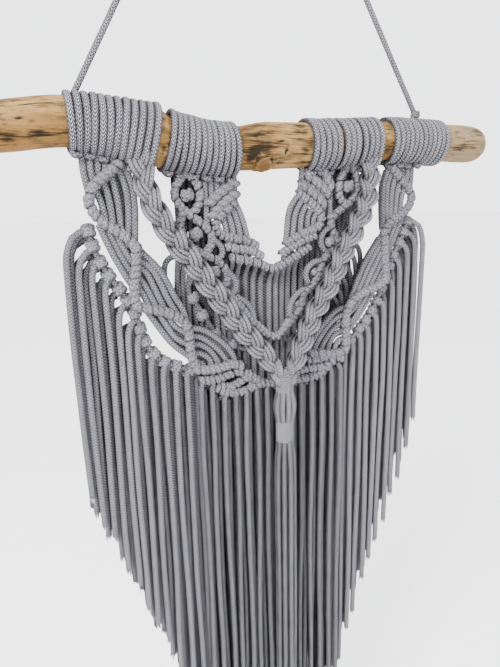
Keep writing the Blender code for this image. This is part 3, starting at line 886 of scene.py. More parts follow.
@dataclass(frozen=True)
class BareDriftwood:
    """Honey-coloured wood with dark streaks along the grain and grey, weathered patches."""

    name: str = "bare_driftwood"
    honey: Colour = (0.180, 0.092, 0.025)
    pale: Colour = (0.265, 0.160, 0.060)
    olive: Colour = (0.070, 0.046, 0.018)
    brown: Colour = (0.042, 0.020, 0.008)
    black: Colour = (0.008, 0.006, 0.004)
    heart: Colour = (0.085, 0.040, 0.014)
    grey: Colour = (0.20, 0.150, 0.090)
    streak: Grain = Grain(1.6, 5.0, 0.7, (12.0, 110.0, 110.0))
    fine: Grain = Grain(1.5, 4.0, 0.7, (60.0, 700.0, 700.0))
    cloud: Grain = Grain(1.0, 4.0, 0.6, (16.0, 44.0, 44.0))
    weather: Grain = Grain(1.3, 5.0, 0.7, (22.0, 60.0, 60.0))
    mottle: Grain = Grain(1.0, 4.0, 0.7, (90.0, 300.0, 300.0))
    lines: Grain = Grain(1.0, 5.0, 0.75, (30.0, 520.0, 520.0))
    clouded: Span = (0.4, 0.6)
    coats: tuple[Coat, ...] = (
        Coat("weather", (0.47, 0.63), 0.75, "olive"), Coat("streak", (0.52, 0.66), 0.75, "brown"),
        Coat("along", (0.150, 0.175), 0.75, "grey"), Coat("fine", (0.45, 0.68), 0.4, "brown"),
        Coat("mottle", (0.52, 0.66), 0.65, "brown"),
    )
    heart_span: Span = (0.1, 0.6)
    heart_share: Span = (0.55, 0.6)
    stained: float = 1.2
    broken: float = 3.4
    broken_span: Span = (0.0, 0.25)
    stain_span: Span = (0.3, 1.05)
    stain_share: float = 0.96
    furrow_span: Span = (0.5, 0.75)
    pit_span: Span = (0.55, 0.7)
    relief: float = 0.6
    furrow_relief: float = -0.4
    pit_relief: float = -0.3
    roughness: Span = (0.8, 0.15)
    specular: float = 0.12
    depth: float = 0.0009

    def build(self) -> Material:
        """Makes the wood's material.

        Returns:
            The material.
        """
        shade = Shading(self.name)
        wires = {name: shade.noise(getattr(self, name))
                 for name in ("streak", "fine", "cloud", "weather", "mottle", "lines")}
        wires["along"] = shade.split(shade.place())[0]
        colour = shade.mix(wires["cloud"].ramp(*self.clouded), self.honey, self.pale)
        for coat in self.coats:
            share = wires[coat.grain].ramp(*coat.span) * coat.share
            colour = shade.mix(share, colour, getattr(self, coat.colour))
        marked = shade.read(TINT_AND_SHADE)
        least, cloudy = self.heart_share
        heart = (0.0 - marked).ramp(*self.heart_span) * (least + wires["cloud"] * cloudy)
        colour = shade.mix(heart, colour, self.heart)
        broken = (wires["lines"] - 0.5) * self.broken * marked.ramp(*self.broken_span)
        stain = (marked * self.stained + broken).ramp(*self.stain_span)
        colour = shade.mix(stain * self.stain_share, colour, self.black)
        furrows, pits = wires["streak"].ramp(*self.furrow_span), wires["mottle"].ramp(*self.pit_span)
        height = 0.5 + (wires["fine"] - 0.5) * self.relief + furrows * self.furrow_relief
        height = height + (pits + stain) * self.pit_relief
        plain, grainy = self.roughness
        roughness = plain + wires["fine"] * grainy
        return shade.finish(colour, roughness, height, self.depth, Specular_IOR_Level=self.specular)


# The stick


@dataclass(frozen=True)
class Ripple:
    """Smooth noise over the stick's skin: its waves' length and tightness, and its strength."""

    length: float
    tightness: float
    share: float = 1.0
    shift: float = 0.0

    def at(self, x: float, y: float, up: float) -> float:
        """Its value at a point: the place along, and where round the stick that is."""
        spot = Vector((x / self.length + self.shift, self.tightness * y, self.tightness * up))
        return noise.noise(spot) * self.share


@dataclass(frozen=True)
class Rim:
    """A soft ring round the branch stub: how far out it is, how wide and how strong."""

    reach: float
    width: float
    share: float = 1.0

    def at(self, away: float) -> float:
        """Its strength this far from the stub's middle."""
        return self.share * math.exp(-((away - self.reach) / self.width) ** 2)


@dataclass(frozen=True)
class Stub:
    """The round stub of a branch on the stick's front, and the rims round it."""

    x: float = -10.5
    z: float = 102.4
    squash: float = 1.7
    radius: float = 7.8
    edge: float = 2.6
    rise: float = 3.4
    collar: Rim = Rim(9.4, 1.7, 1.1)
    collar_from: float = -3.0
    outline: Rim = Rim(6.6, 0.9, 0.8)
    halo: Rim = Rim(11.5, 4.5)
    halo_fade: float = 7.0
    halo_least: float = 0.2
    halo_patchy: Spot = (0.85, 1.2)
    heart: float = 5.6
    heart_edge: float = 1.2
    round_to: float = 0.2

    def away(self, x: float, z: float) -> float:
        """How far a place on the stick's front is from the stub's middle."""
        return math.hypot(x - self.x, (z - self.z) * self.squash)

    def swell(self, away: float, x: float) -> float:
        """How far the stub lifts the skin, this far from its middle."""
        knob = limited((self.radius - away) / self.edge)
        rim = self.collar.at(away) if x > self.x + self.collar_from else 0.0
        return self.rise * knob * knob * (3 - 2 * knob) + rim

    def stain(self, away: float, x: float, patch: float) -> float:
        """How much darker the skin round the stub is.

        Args:
            away: how far the point is from the stub's middle.
            x: its place along the stick.
            patch: the noise of the stains there.

        Returns:
            The stain, 0 where there is none.
        """
        left = limited((self.x + self.halo_fade - x) / (2 * self.halo_fade))
        least, patchy = self.halo_patchy
        fade = self.halo_least + (1 - self.halo_least) * left
        return self.halo.at(away) * fade * (least + patchy * patch) + self.outline.at(away)


@dataclass
class Driftwood:
    """The crooked stick, with a branch stub under its middle and a worn right end."""

    name: str = "driftwood"
    ring_points: int = 72
    step: float = 1.5
    curve_step: float = 0.5
    slope_reach: float = 8.0
    lumps: Ripple = Ripple(34, 1.3, 0.7)
    furrows: Ripple = Ripple(26, 7, 0.35, 9)
    patches: Ripple = Ripple(9, 2.4)
    stub: Stub = Stub()
    near_rim: tuple[float, ...] = (0.0, 0.6, 1.6)
    far_rim: tuple[float, ...] = (1.8, 0.7, 0.0)
    ends: Span = (3.0, 3.5)
    domes: Span = (0.4, 0.9)
    end_stains: Span = (0.2, 0.1)
    streak_fade: float = 8.0
    waver: float = 0.05
    waver_length: float = 13.0
    streak_patchy: Spot = (0.75, 0.9)
    hole_depth: float = 0.7
    hole_dark: float = 1.1

    # Cross-sections: the place along, the middle line's height and the radius.
    SECTIONS: ClassVar[tuple[Place, ...]] = (
        (-206, 117, 9), (-203, 117.4, 12.6), (-190, 119, 14.2), (-172, 121.6, 15.1), (-150, 124.4, 15.3),
        (-132, 125, 15), (-112, 123.2, 15.4), (-98, 120.6, 16.6), (-87, 118.2, 18.2), (-81, 116.9, 18.5),
        (-76.5, 115.8, 16.6), (-64, 113.8, 16), (-45, 112.2, 15.1), (-28, 112.4, 14.9), (-8, 114.6, 16.3),
        (12, 115.8, 16.4), (34, 116.6, 15.8), (60, 118.6, 15.2), (90, 121, 15.1), (120, 122.5, 14.8),
        (150, 122.6, 14.6), (180, 122.4, 15.2), (196, 122.2, 14.6), (203, 122, 12.9), (206.5, 121.8, 9.6),
    )
    # Streaks: the height on the front, -1 to 1, the width there, both ends and the strength.
    STREAKS: ClassVar[tuple[tuple[float, ...], ...]] = (
        (-0.42, 0.13, -205, -150, 0.7), (-0.52, 0.05, -172, -134, 1), (-0.66, 0.12, -206, -168, 0.75),
        (-0.9, 0.1, -206, -165, 0.5), (0.80, 0.13, -206, -172, 0.7), (0.55, 0.05, -176, -136, 0.75),
        (0.30, 0.10, -206, -196, 0.6), (0.80, 0.16, -28, 30, 0.6), (0.42, 0.10, -24, 4, 0.5),
        (-0.15, 0.14, -26, -6, 0.6), (0.45, 0.05, 12, 28, 1.1), (-0.35, 0.22, 14, 32, 0.75),
        (-0.75, 0.14, -2, 32, 0.6), (-0.25, 0.2, -88, -74, 0.35), (0.62, 0.18, 90, 104, 0.9),
        (-0.55, 0.2, 92, 104, 1), (0.72, 0.13, 182, 208, 0.95), (0.45, 0.08, 190, 208, 0.6),
        (-0.3, 0.3, 160, 205, 0.35), (-0.85, 0.12, 156, 196, 0.5),
    )
    # Weathered lengths: both ends and the strength.
    AGED: ClassVar[tuple[Place, ...]] = (
        (-206, -184, 0.26), (-184, -140, 0.12), (-30, 34, 0.34), (88, 104, 0.3), (156, 207, 0.18),
    )
    # Holes: the place along, the height on the front, the half length and the half width.
    HOLES: ClassVar[tuple[tuple[float, ...], ...]] = (
        (-83.5, -0.45, 2.2, 0.10), (-81.5, -0.72, 1.8, 0.07), (-79.5, -0.30, 1.2, 0.06),
        (-84.5, -0.62, 1.2, 0.05), (-80.5, -0.52, 1, 0.05), (-168, 0.12, 2, 0.05),
        (2, 0.1, 3, 0.04), (6, -0.35, 1.2, 0.09),
    )

    def __post_init__(self) -> None:
        """Works out the middle line and radius once."""
        self.line = smooth(np.array(self.SECTIONS), self.curve_step)

    def at(self, x: float) -> Spot:
        """The middle line's height and the stick's radius at a place along it."""
        xs, heights, radii = self.line.T
        return float(np.interp(x, xs, heights)), float(np.interp(x, xs, radii))

    def slope(self, x: float) -> float:
        """How steeply the stick rises there, as a ratio."""
        reach = self.slope_reach
        return (self.at(x + reach)[0] - self.at(x - reach)[0]) / (2 * reach)

    def build(self, finish: Material) -> None:
        """Makes the stick.

        Args:
            finish: the wood's material.
        """
        first, last = self.SECTIONS[0][0], self.SECTIONS[-1][0]
        middle = np.linspace(first + self.ends[0], last - self.ends[1], round((last - first) / self.step))
        xs = np.r_[first + np.array(self.near_rim), middle, last - np.array(self.far_rim)]
        rings, stains = zip(*(self._ring(x) for x in xs))
        near = (first - self.domes[0], 0, self.at(first)[0])
        far = (last + self.domes[1], 0, self.at(last)[0])
        points = np.vstack([*rings, near, far])
        count, last_ring, tips = self.ring_points, len(points) - 2 - self.ring_points, len(points) - 2
        faces = np.roll(tube_faces(len(xs), count)[:, ::-1], 1, axis=1).tolist()
        for j in range(count):
            k = (j + 1) % count
            faces += [(j, k, tips), (last_ring + k, last_ring + j, tips + 1)]
        mesh = bpy.data.meshes.new(self.name)
        mesh.from_pydata(((points - NAIL) * MM).tolist(), [], faces)
        mesh.polygons.foreach_set("use_smooth", [True] * len(faces))
        mark(mesh, TINT_AND_SHADE, np.hstack([*stains, self.end_stains]))
        mesh.update()
        dress(mesh, finish, WOOD_SLOT, "driftwood_stick")

    def _ring(self, x: float) -> tuple[np.ndarray, np.ndarray]:
        """One ring of the stick's skin, with its lumps, cracks and stains.

        Args:
            x: the place along.

        Returns:
            The ring's points, and how dark each one's marks are.
        """
        z, radius = self.at(x)
        places, stains = [], []
        for j in range(self.ring_points):
            angle = FULL_TURN * j / self.ring_points
            y, up = -math.cos(angle), math.sin(angle)
            swell, stain = self._marks(x, y, up, z + up * radius)
            reach = radius + self.lumps.at(x, y, up) + self.furrows.at(x, y, up) + swell
            places.append((x, y * reach, z + up * reach))
            stains.append(stain)
        return np.array(places), np.array(stains)

    def _marks(self, x: float, y: float, up: float, z: float) -> Spot:
        """The branch stub, the streaks and the holes.

        Args:
            x: the place along.
            y: the point's depth, from -1 at the front.
            up: the point's height, from -1 to 1.
            z: its height in millimetres.

        Returns:
            How far the skin swells there, and how dark its marks are.
        """
        front = max(0.0, -y)
        patch = self.patches.at(x, y, up)
        least, patchy = self.streak_patchy
        stain = sum(share * (first < x < last) for first, last, share in self.AGED)
        for line_up, width, first, last, share in self.STREAKS:
            inside = limited((x - first) / self.streak_fade) * limited((last - x) / self.streak_fade)
            drift = line_up + self.waver * math.sin(x / self.waver_length + 4 * line_up)
            stain += share * inside * math.exp(-((up - drift) / width) ** 2) * (least + patchy * patch)
        away = self.stub.away(x, z)
        stain = front * (stain + self.stub.stain(away, x, patch))
        swell = 0.0
        if y < self.stub.round_to:
            swell = self.stub.swell(away, x)
            stain -= limited((self.stub.heart - away) / self.stub.heart_edge)
        # Holes: shallow dents that are also darker.
        for hole_x, hole_up, length, size in self.HOLES:
            hole = front * math.exp(-((x - hole_x) / length) ** 2 - ((up - hole_up) / size) ** 2)
            swell -= self.hole_depth * hole
            stain += self.hole_dark * hole
        return swell, stain


# Cords round and above the stick


@dataclass(frozen=True)
class Turns:
    """One group of turns round the stick, and how far its last lark's heads are pulled down."""

    number: int
    start: float
    end: float
    count: int
    bars: int
    pulled: float = 0.0
    hidden: int = 0

    def places(self, count: int) -> list[Spot]:
        """Places that share out the group's width, each with how far it is pulled down."""
        shares = [(i + 0.5) / count for i in range(count)]
        return [(self.start + share * (self.end - self.start), self.pulled * share**2) for share in shares]


@dataclass
class MountWraps:
    """The cords' lark's heads on the stick, in six groups."""

    stick: Driftwood
    half_depth: float = 1.75
    packing: float = 0.51
    squeeze: float = 0.82
    sides: int = 12
    # Painted shade on the turns' flanks, in the grooves between turns.
    flank_shade: float = 5.2
    unevenness: float = 0.35
    wobble: float = 0.35
    wobble_phase: float = 6.0
    steps: int = 44
    pull_power: float = 1.5
    pull_from: float = -math.pi / 2 - 0.6
    bar_half: Span = (2.3, 2.1)
    bar_angle: float = 76.0
    bar_turned: float = 4.0
    bar_tilted: float = 0.12
    bar_aside: float = 0.9
    bar_clearance: float = 2.2
    bar_reach: float = 0.44
    bar_step: float = 1.2
    bar_line: tuple[Place, ...] = (
        (-1.2, 3.4, 3.4), (-1, 0.6, 0.6), (0, 0, -0.2), (1, 0.6, 0.6), (1.2, 3.4, 3.4),
    )
    groups: tuple[Turns, ...] = (
        Turns(1, -141.5, -86, 12, 6, 4.5), Turns(2, -79.5, -29, 12, 6, 2),
        Turns(3, 28, 53, 5, 3, 1), Turns(4, 55, 70.3, 3, 1, 1), Turns(5, 72, 92, 4, 2, 1),
        Turns(6, 102.3, 158, 12, 6, 1, 2),
    )

    def build(self, finish: Material) -> None:
        """Makes all groups.

        Args:
            finish: the cord's material.
        """
        for group in self.groups:
            skein = Skein(f"wraps_{group.number}", 20 + group.number, flank_shade=self.flank_shade)
            pitch = (group.end - group.start) / group.count
            for x, pulled in group.places(group.count):
                self._turn(skein, x, pitch, pulled)
            for x, pulled in group.places(group.bars)[:group.bars - group.hidden]:
                self._crossbar(skein, x, pitch, pulled)
            dress(skein.mesh(), finish, COTTON_SLOT, f"mount_wraps_{group.number}")

    def _turn(self, skein: Skein, x: float, pitch: float, pulled: float) -> None:
        """One turn round the stick, square to its middle line.

        Args:
            skein: the group's cords.
            x: the turn's place along the stick.
            pitch: the distance between turns.
            pulled: how far it is pulled down.
        """
        z, radius = self.stick.at(x)
        angle = np.linspace(-math.pi, math.pi, self.steps + 1)
        reach = radius + self.half_depth + skein.draw.uniform(0.0, self.unevenness)
        wobble = skein.draw.uniform(-self.wobble, self.wobble)
        up = reach * np.sin(angle)
        bent = wobble * np.sin(2 * angle + skein.draw.uniform(0, self.wobble_phase))
        low = np.clip(-np.sin(angle), 0, 1) ** self.pull_power * (angle > self.pull_from)
        xs = x - self.stick.slope(x) * up + bent
        path = np.stack([xs, -reach * np.cos(angle), z + up - pulled * low], 1)
        away = path - np.array([x, 0.0, z])
        skein.lay(path, self.packing * pitch, self.half_depth, self.sides, away, squeeze=self.squeeze)

    def _crossbar(self, skein: Skein, x: float, pitch: float, pulled: float) -> None:
        """The short bar of a lark's head, below its two turns.

        Args:
            skein: the group's cords.
            x: the pair's middle.
            pitch: the distance between turns.
            pulled: how far it is pulled down.
        """
        z, radius = self.stick.at(x)
        down = radius + 2 * self.half_depth + self.bar_clearance
        lean = math.radians(self.bar_angle + skein.draw.uniform(-self.bar_turned, self.bar_turned))
        y, low = -down * math.cos(lean), z - down * math.sin(lean) - pulled
        slope = self.stick.slope(x)
        tilt = slope + skein.draw.uniform(-self.bar_tilted, self.bar_tilted)
        middle = x + slope * down * self.bar_aside
        spots = [(self.bar_reach * pitch * a, b, c) for a, b, c in self.bar_line]
        path = np.array([(middle + a, y + b, low + c + tilt * a) for a, b, c in spots])
        skein.lay(smooth(path, self.bar_step), *self.bar_half)


@dataclass
class HangingCord:
    """The cord from the stick over the nail and down again, with a small knot at its right."""

    radius: float = 2.1
    sides: int = 10
    left: Place = (-135.2, 0.0, 141.0)
    right: Place = (135.0, 0.0, 143.5)
    bend: float = 0.012
    sunk: float = 0.5
    bend_step: float = 0.8
    knot_turn: Span = (-0.6 * math.pi, 3.0 * math.pi)
    knot_rise: Span = (1.9, -1.7)
    knot_reach: Place = (2.2, 2.3, 0.8)
    knot_half: Span = (1.9, 1.8)
    knot_steps: int = 40
    foot: tuple[Place, ...] = ((0.0, 0.0, 2.0), (0.4, -0.4, -2.0), (0.8, -1.0, -4.6))
    foot_radius: float = 2.0

    def build(self, finish: Material) -> None:
        """Makes the cord.

        Args:
            finish: the cord's material.
        """
        skein = Skein("hanging_cord_braid", 31)
        left, right = np.array(self.left), np.array(self.right)
        near_left, near_right = (NAIL + (foot - NAIL) * self.bend for foot in (left, right))
        bend = smooth(np.stack([near_left, NAIL - [0, 0, self.sunk], near_right]), self.bend_step)
        path = np.vstack([evenly(np.stack([left, near_left]), LONG_STEP)[:-1], bend,
                          evenly(np.stack([near_right, right]), LONG_STEP)[1:]])
        skein.lay(path, self.radius, sides=self.sides)
        self._knot(skein, right)
        dress(skein.mesh(), finish, COTTON_SLOT, "hanging_cord")

    def _knot(self, skein: Skein, place: np.ndarray) -> None:
        """The overhand knot that holds the cord's right end.

        Args:
            skein: the cord's skein.
            place: where the cord ends.
        """
        angle = np.linspace(*self.knot_turn, self.knot_steps)
        rise = np.linspace(*self.knot_rise, self.knot_steps)
        aside, front, up = self.knot_reach
        away = np.stack([aside * np.sin(angle), -front * np.cos(angle), up * np.sin(angle)], 1)
        path = place + away + np.outer(rise, (0.0, 0.0, 1.0))
        skein.lay(path, *self.knot_half, facing=away)
        skein.lay(place + np.array(self.foot), self.foot_radius)


# The fabric


@dataclass(frozen=True)
class Leaf:
    """Strands laid side by side, with strands behind the gaps between them that are darkened with painted
    shade.
    """

    radius: float
    depth: float
    rear: float
    shaded: float
    loose: float = 0.0

    def lay(self, skein: Skein, lines: Sequence[Line]) -> None:
        """Lays the strands, then those behind them.

        Args:
            skein: the piece that they belong to.
            lines: the strands' lines, from one side to the other.
        """
        for points in lines:
            loose = skein.draw.uniform(-self.loose, self.loose) if self.loose else 0.0
            skein.lay(smooth(set_at(points, self.depth + loose), STRAND_STEP), self.radius)
        # The strands behind the gaps stand for the doubled cords; their darkness is painted shade.
        for one, other in zip(lines, lines[1:]):
            middle = between(set_at(one, self.rear), set_at(other, self.rear))
            skein.lay(smooth(middle, STRAND_STEP), self.radius, tint=self.shaded)


@dataclass
class Wing:
    """One wing: zigzag rows of hitches with leaves of strands between them."""

    side: Side
    front: float = -4.5
    row: HalfHitches = HalfHitches()
    leaf: Leaf = Leaf(radius=2.35, depth=-2.0, rear=2.4, shaded=-1.8, loose=0.5)

    BARS: ClassVar[dict[Side, Lines]] = {
        Side.LEFT: (
            [(-110, 101), (-121, 92.5), (-129, 85), (-132, 76), (-127, 66), (-117, 58.5), (-108, 52),
             (-103.5, 45)],
            [(-103.5, 47), (-104.5, 36), (-106.5, 24), (-107.5, 13), (-106, 5)],
            [(-107, 6), (-98, 3), (-88, 0.5), (-80, -3.5), (-73, -9), (-70, -16), (-69.5, -28),
             (-68, -38), (-65, -46)],
            [(-67, -46), (-56, -47.6), (-45, -47.2), (-35, -46), (-28, -49)],
        ),
        Side.RIGHT: (
            [(109, 102), (120, 91.5), (128, 85), (131.5, 76), (126, 67), (116, 61), (108, 56), (104, 49)],
            [(104, 51), (105, 40), (106, 29), (107, 18), (107, 8)],
            [(108, 9), (99, 4.5), (90, 1.5), (81, -1.5), (73, -7), (68.5, -15), (67.5, -27),
             (68.5, -38), (68, -48)],
            [(69, -48), (58, -50), (49, -49), (40, -47), (31, -46)],
        ),
    }
    LEAVES: ClassVar[dict[Side, tuple[Lines, ...]]] = {
        Side.LEFT: (
            ([(-127, 84), (-124, 75), (-122, 63)], [(-122, 90), (-119, 78), (-117.5, 60)],
             [(-116.5, 94.5), (-113.5, 79), (-112.5, 57)],
             [(-111.5, 98), (-107.5, 86), (-106.5, 72), (-108, 54)],
             [(-108, 100), (-103.5, 88), (-102.5, 72), (-104, 50)]),
            ([(-133.4, 112), (-133.4, 96), (-131, 80)], [(-128.9, 112), (-128.9, 96), (-126.5, 86)],
             [(-124.3, 110), (-124.1, 92)], [(-119.6, 110), (-119.4, 94)], [(-115, 108), (-115, 97)]),
            ([(-127, 62), (-122.5, 50), (-117.5, 38), (-111.5, 26), (-108, 20)],
             [(-122, 60), (-117.5, 49), (-112.8, 38), (-107.5, 28)], [(-117, 58), (-113, 48), (-107, 36)],
             [(-112, 55), (-108, 47)]),
            ([(-101, 44), (-88.5, 30), (-83, 20), (-78.5, 10), (-73, 0), (-71, -8)],
             [(-102, 38), (-93, 30), (-88, 20), (-84, 10), (-79, 0), (-76, -5)],
             [(-103, 33), (-97.5, 28), (-93, 18), (-89.5, 9), (-86, 0)],
             [(-104, 27), (-99, 19), (-95, 10), (-92, 2)], [(-104, 19), (-100.5, 12), (-97, 3)]),
            ([(-100, 3), (-91, -12), (-82, -25), (-70, -36)], [(-92, 1), (-85, -12), (-79, -21), (-70, -27)],
             [(-85, -2), (-80, -11), (-70, -19)]),
            ([(-69, -14), (-58, -17), (-48, -24), (-38, -34), (-31, -48)],
             [(-69, -20), (-60, -22.5), (-51, -29.5), (-43, -38.5), (-39, -47), (-38.5, -55)],
             [(-69, -27), (-61, -28), (-53, -34), (-47, -45), (-46.5, -55)],
             [(-68, -34), (-61, -35), (-54.5, -40), (-52.5, -47), (-52.5, -55)],
             [(-66, -41), (-61.5, -42), (-58.6, -46), (-58, -54)]),
        ),
        Side.RIGHT: (
            ([(125.5, 86), (123, 78), (121.5, 65)], [(120, 92), (117.5, 80), (116.5, 62)],
             [(115, 95), (112, 80), (111.5, 59)], [(111, 98), (107.5, 88), (107, 75), (108.5, 56)],
             [(107.5, 101), (103.2, 88), (103, 74), (104, 58), (105.5, 47)]),
            ([(131.6, 110), (131.8, 94), (130.5, 80)], [(127.2, 110), (127.4, 96), (125.5, 88)],
             [(122.8, 110), (122.6, 92)], [(118.4, 110), (118.2, 95)], [(113.8, 108), (113.6, 98)]),
            ([(123, 63), (118.5, 50), (113.5, 38), (108, 27)], [(118, 61), (114, 49), (108, 36)],
             [(113, 59), (109.5, 49)]),
            ([(105, 49), (101, 43.5), (89.5, 29), (80.5, 12), (73, -6)],
             [(103, 40), (94.5, 28), (86, 12), (79, -3)],
             [(104, 35), (99, 26), (91, 11), (85.5, 0)], [(105, 27), (101, 19), (95.5, 9), (92, 1)],
             [(106, 18), (101, 9), (98, 3)]),
            ([(99, 3), (90, -10), (81, -22), (68, -36)], [(91, 0), (84, -12), (77, -22), (68, -28)],
             [(85, -2), (78.5, -12), (68, -20)]),
            ([(67, -11), (58, -14.5), (49, -22), (40, -32), (31, -45)],
             [(67, -17), (57, -21), (48, -29), (40, -40), (38, -47), (37.5, -57)],
             [(67, -24), (59, -27), (51, -35), (45.5, -44), (44.5, -57)],
             [(67, -31), (60, -33), (54.5, -39), (51.8, -46), (51.5, -57)],
             [(67, -38), (62, -39.5), (59, -44), (58.5, -54)]),
        ),
    }

    def build(self, finish: Material) -> None:
        """Makes the wing.

        Args:
            finish: the cord's material.
        """
        skein = Skein(f"{self.side.value}_wing_cords", self.side.seed(41))
        for points in self.BARS[self.side]:
            self.row.tie(skein, set_at(points, self.front))
        for lines in self.LEAVES[self.side]:
            self.leaf.lay(skein, lines)
        dress(skein.mesh(), finish, COTTON_SLOT, f"{self.side.value}_wing")


@dataclass(frozen=True)
class Hang:
    """A fringe strand: its root at a knot, and where and how deep it hangs."""

    x: float
    z: float
    hang_x: float
    y: float


@dataclass
class Fringe:
    """Strands that hang from their roots to a hem that is cut to a V."""

    radius: float = 2.3
    rear_radius: float = 2.9
    rear_depth: float = 9.2
    rear_drop: float = 4.0
    rear_root: float = 2.0
    # How much darker each millimetre of depth makes a strand, as painted shade.
    recess_shade: float = 0.22
    shaded: float = -2.4
    hem_tip: float = -577.0
    hem_slope: float = 2.95
    hem_blunt: float = 15.0
    jitter: float = 8.5
    shoulder: float = 6.0
    spill: float = 0.9
    bends: tuple[Spot, ...] = ((0.62, 0.22), (0.94, 0.8))
    settle: float = 9.0
    part: float = 45.0
    drift: float = 0.42
    sway: float = 0.75
    sway_turn: float = 0.9
    depth_sway: float = 0.3
    phases: float = 6.28
    worn: float = 0.25

    def hem(self, x: float) -> float:
        """Height at which a strand that hangs at x is cut."""
        return self.hem_tip + self.hem_slope * math.hypot(x, self.hem_blunt)

    def drop(self, skein: Skein, row: Hang, root_y: float, tint: float, radius: float) -> None:
        """Lays one strand.

        Args:
            skein: the piece that it belongs to.
            row: its root and its place.
            root_y: the knot's depth.
            tint: how much lighter or darker it is.
            radius: the strand's radius.
        """
        draw = skein.draw
        aside = row.hang_x - row.x
        fall = self.shoulder + self.spill * abs(aside)
        top = row.z - fall - self.settle
        foot = self.hem(row.hang_x) + draw.uniform(-self.jitter, self.jitter)
        bends = [(row.x + across * aside, row.y, row.z - down * fall) for across, down in self.bends]
        knots = [(row.x, root_y, row.z), *bends, (row.hang_x, row.y, top)]
        drift, phase = 0.0, draw.uniform(0, self.phases)
        parts = max(2, round((top - foot) / self.part))
        for i in range(1, parts + 1):
            drift += draw.uniform(-self.drift, self.drift)
            sway = self.sway * math.sin(phase + i * self.sway_turn)
            depth = row.y + self.depth_sway * math.cos(phase + i)
            knots.append((row.hang_x + drift + sway, depth, top - (top - foot) * i / parts))
        path = smooth(np.array(knots), LONG_STEP)
        skein.lay(path, radius, end=End.FRAYED, tint=tint, worn=self.worn)

    def hang(self, skein: Skein, rows: Sequence[Hang], root_y: float, tint: float = 0.0) -> None:
        """Lays strands, and strands behind the gaps between them, darkened with painted shade.

        Args:
            skein: the piece that they belong to.
            rows: the strands, from one side to the other.
            root_y: their knots' depth.
            tint: how much lighter or darker they are.
        """
        for row in rows:
            # Painted shade: deeper strands are darker, and the strands behind the gaps darker still.
            self.drop(skein, row, root_y, tint - self.recess_shade * max(0.0, row.y), self.radius)
        for one, other in zip(rows, rows[1:]):
            middle = (one.hang_x + other.hang_x) / 2
            top = min(one.z, other.z) - self.rear_drop
            root = Hang((one.x + other.x) / 2, top, middle, self.rear_depth)
            self.drop(skein, root, root_y + self.rear_root, self.shaded + tint, self.rear_radius)


@dataclass
class Swag:
    """One swag: its holding cord with lark's heads, and the fringe on them."""

    side: Side
    fringe: Fringe
    depth: float = 2.8
    holder: float = 2.3
    step: float = 2.0
    knots: float = 12.6
    margins: Span = (4.0, 2.0)
    knot: LarksHead = LarksHead()

    CORDS: ClassVar[dict[Side, Line]] = {
        Side.LEFT: [(-134, 62), (-131.5, 48), (-127, 36), (-121, 25), (-115, 16), (-110, 7), (-106, -3),
                    (-103.5, -14), (-100, -24), (-94, -33), (-86, -40), (-76, -44.5), (-66, -48.5)],
        Side.RIGHT: [(135, 62), (131.5, 51), (127, 41), (121.5, 32), (117.5, 22), (113, 10), (108, -1),
                     (103, -12), (97, -22), (89.5, -30), (82.5, -37), (75, -44), (68, -49)],
    }
    KNOTS: ClassVar[dict[Side, tuple[Hang, ...]]] = {
        Side.LEFT: (
            Hang(-134, 59, -149.6, 0.2), Hang(-134, 57, -146.2, 4.6), Hang(-131, 46, -142.6, 0.2),
            Hang(-128.5, 39, -138.4, 4.2), Hang(-128.5, 37, -134.2, 0.2), Hang(-122.5, 27, -130.2, 4.8),
            Hang(-122.5, 25, -126.4, 0.2), Hang(-116, 17, -122.8, 4.8), Hang(-111, 8, -119, 0),
            Hang(-106.5, -5, -113.6, 0.2), Hang(-104.5, -10, -109.9, 5.2), Hang(-103.5, -15, -107.2, 0),
            Hang(-99.5, -24, -103.2, 5), Hang(-95, -33, -98.6, 0), Hang(-92, -35, -94.6, 5.2),
            Hang(-86.5, -40, -90, 0.2), Hang(-84, -41, -85.9, 5), Hang(-79, -43.5, -80.6, 0.2),
            Hang(-75, -44.5, -76.4, 5.2), Hang(-70, -46.5, -71.8, 0.6), Hang(-68, -47.5, -67.2, 5.4),
            Hang(-65, -50.5, -63.2, 5.4), Hang(-62, -52, -59.2, 6),
        ),
        Side.RIGHT: (
            Hang(134.5, 59, 151, 0.2), Hang(134.5, 57, 146.8, 4.6), Hang(130.5, 49, 142.8, 0.2),
            Hang(127, 41, 138.8, 4.6), Hang(126, 39, 134.6, 0.2), Hang(121.5, 32, 130.6, 4.8),
            Hang(119, 27, 126.8, 0.2), Hang(116.5, 20, 123.2, 4.8), Hang(112.5, 9, 119.4, 0),
            Hang(108, -1, 115.4, 5), Hang(104.5, -9, 111.2, 0.2), Hang(102, -14, 107.4, 5.2),
            Hang(98, -20, 103.4, 0), Hang(94, -25, 99.2, 5), Hang(90, -29.5, 95.2, 0.2),
            Hang(86, -34, 91.2, 5.2), Hang(83, -36.5, 87.2, 0.2), Hang(80, -39, 83, 5.2),
            Hang(76, -43, 78.8, 0.2), Hang(73, -45.5, 74.8, 5.2), Hang(69.5, -47.5, 70.6, 0.6),
            Hang(66.5, -51, 67, 5.4), Hang(64.5, -52, 63.4, 6),
        ),
    }

    def build(self, finish: Material) -> None:
        """Makes the swag.

        Args:
            finish: the cord's material.
        """
        skein = Skein(f"{self.side.value}_swag_cords", self.side.seed(51))
        path = smooth(set_at(self.CORDS[self.side], self.depth), self.step)
        skein.lay(path, self.holder)
        along, runs = directions(path), run_lengths(path)
        for run in np.arange(self.margins[0], runs[-1] - self.margins[1], runs[-1] / self.knots):
            i = int(np.argmin(np.abs(runs - run)))
            self.knot.tie(skein, path[i], along[i])
        self.fringe.hang(skein, self.KNOTS[self.side], self.depth)
        dress(skein.mesh(), finish, COTTON_SLOT, f"{self.side.value}_swag_fringe")


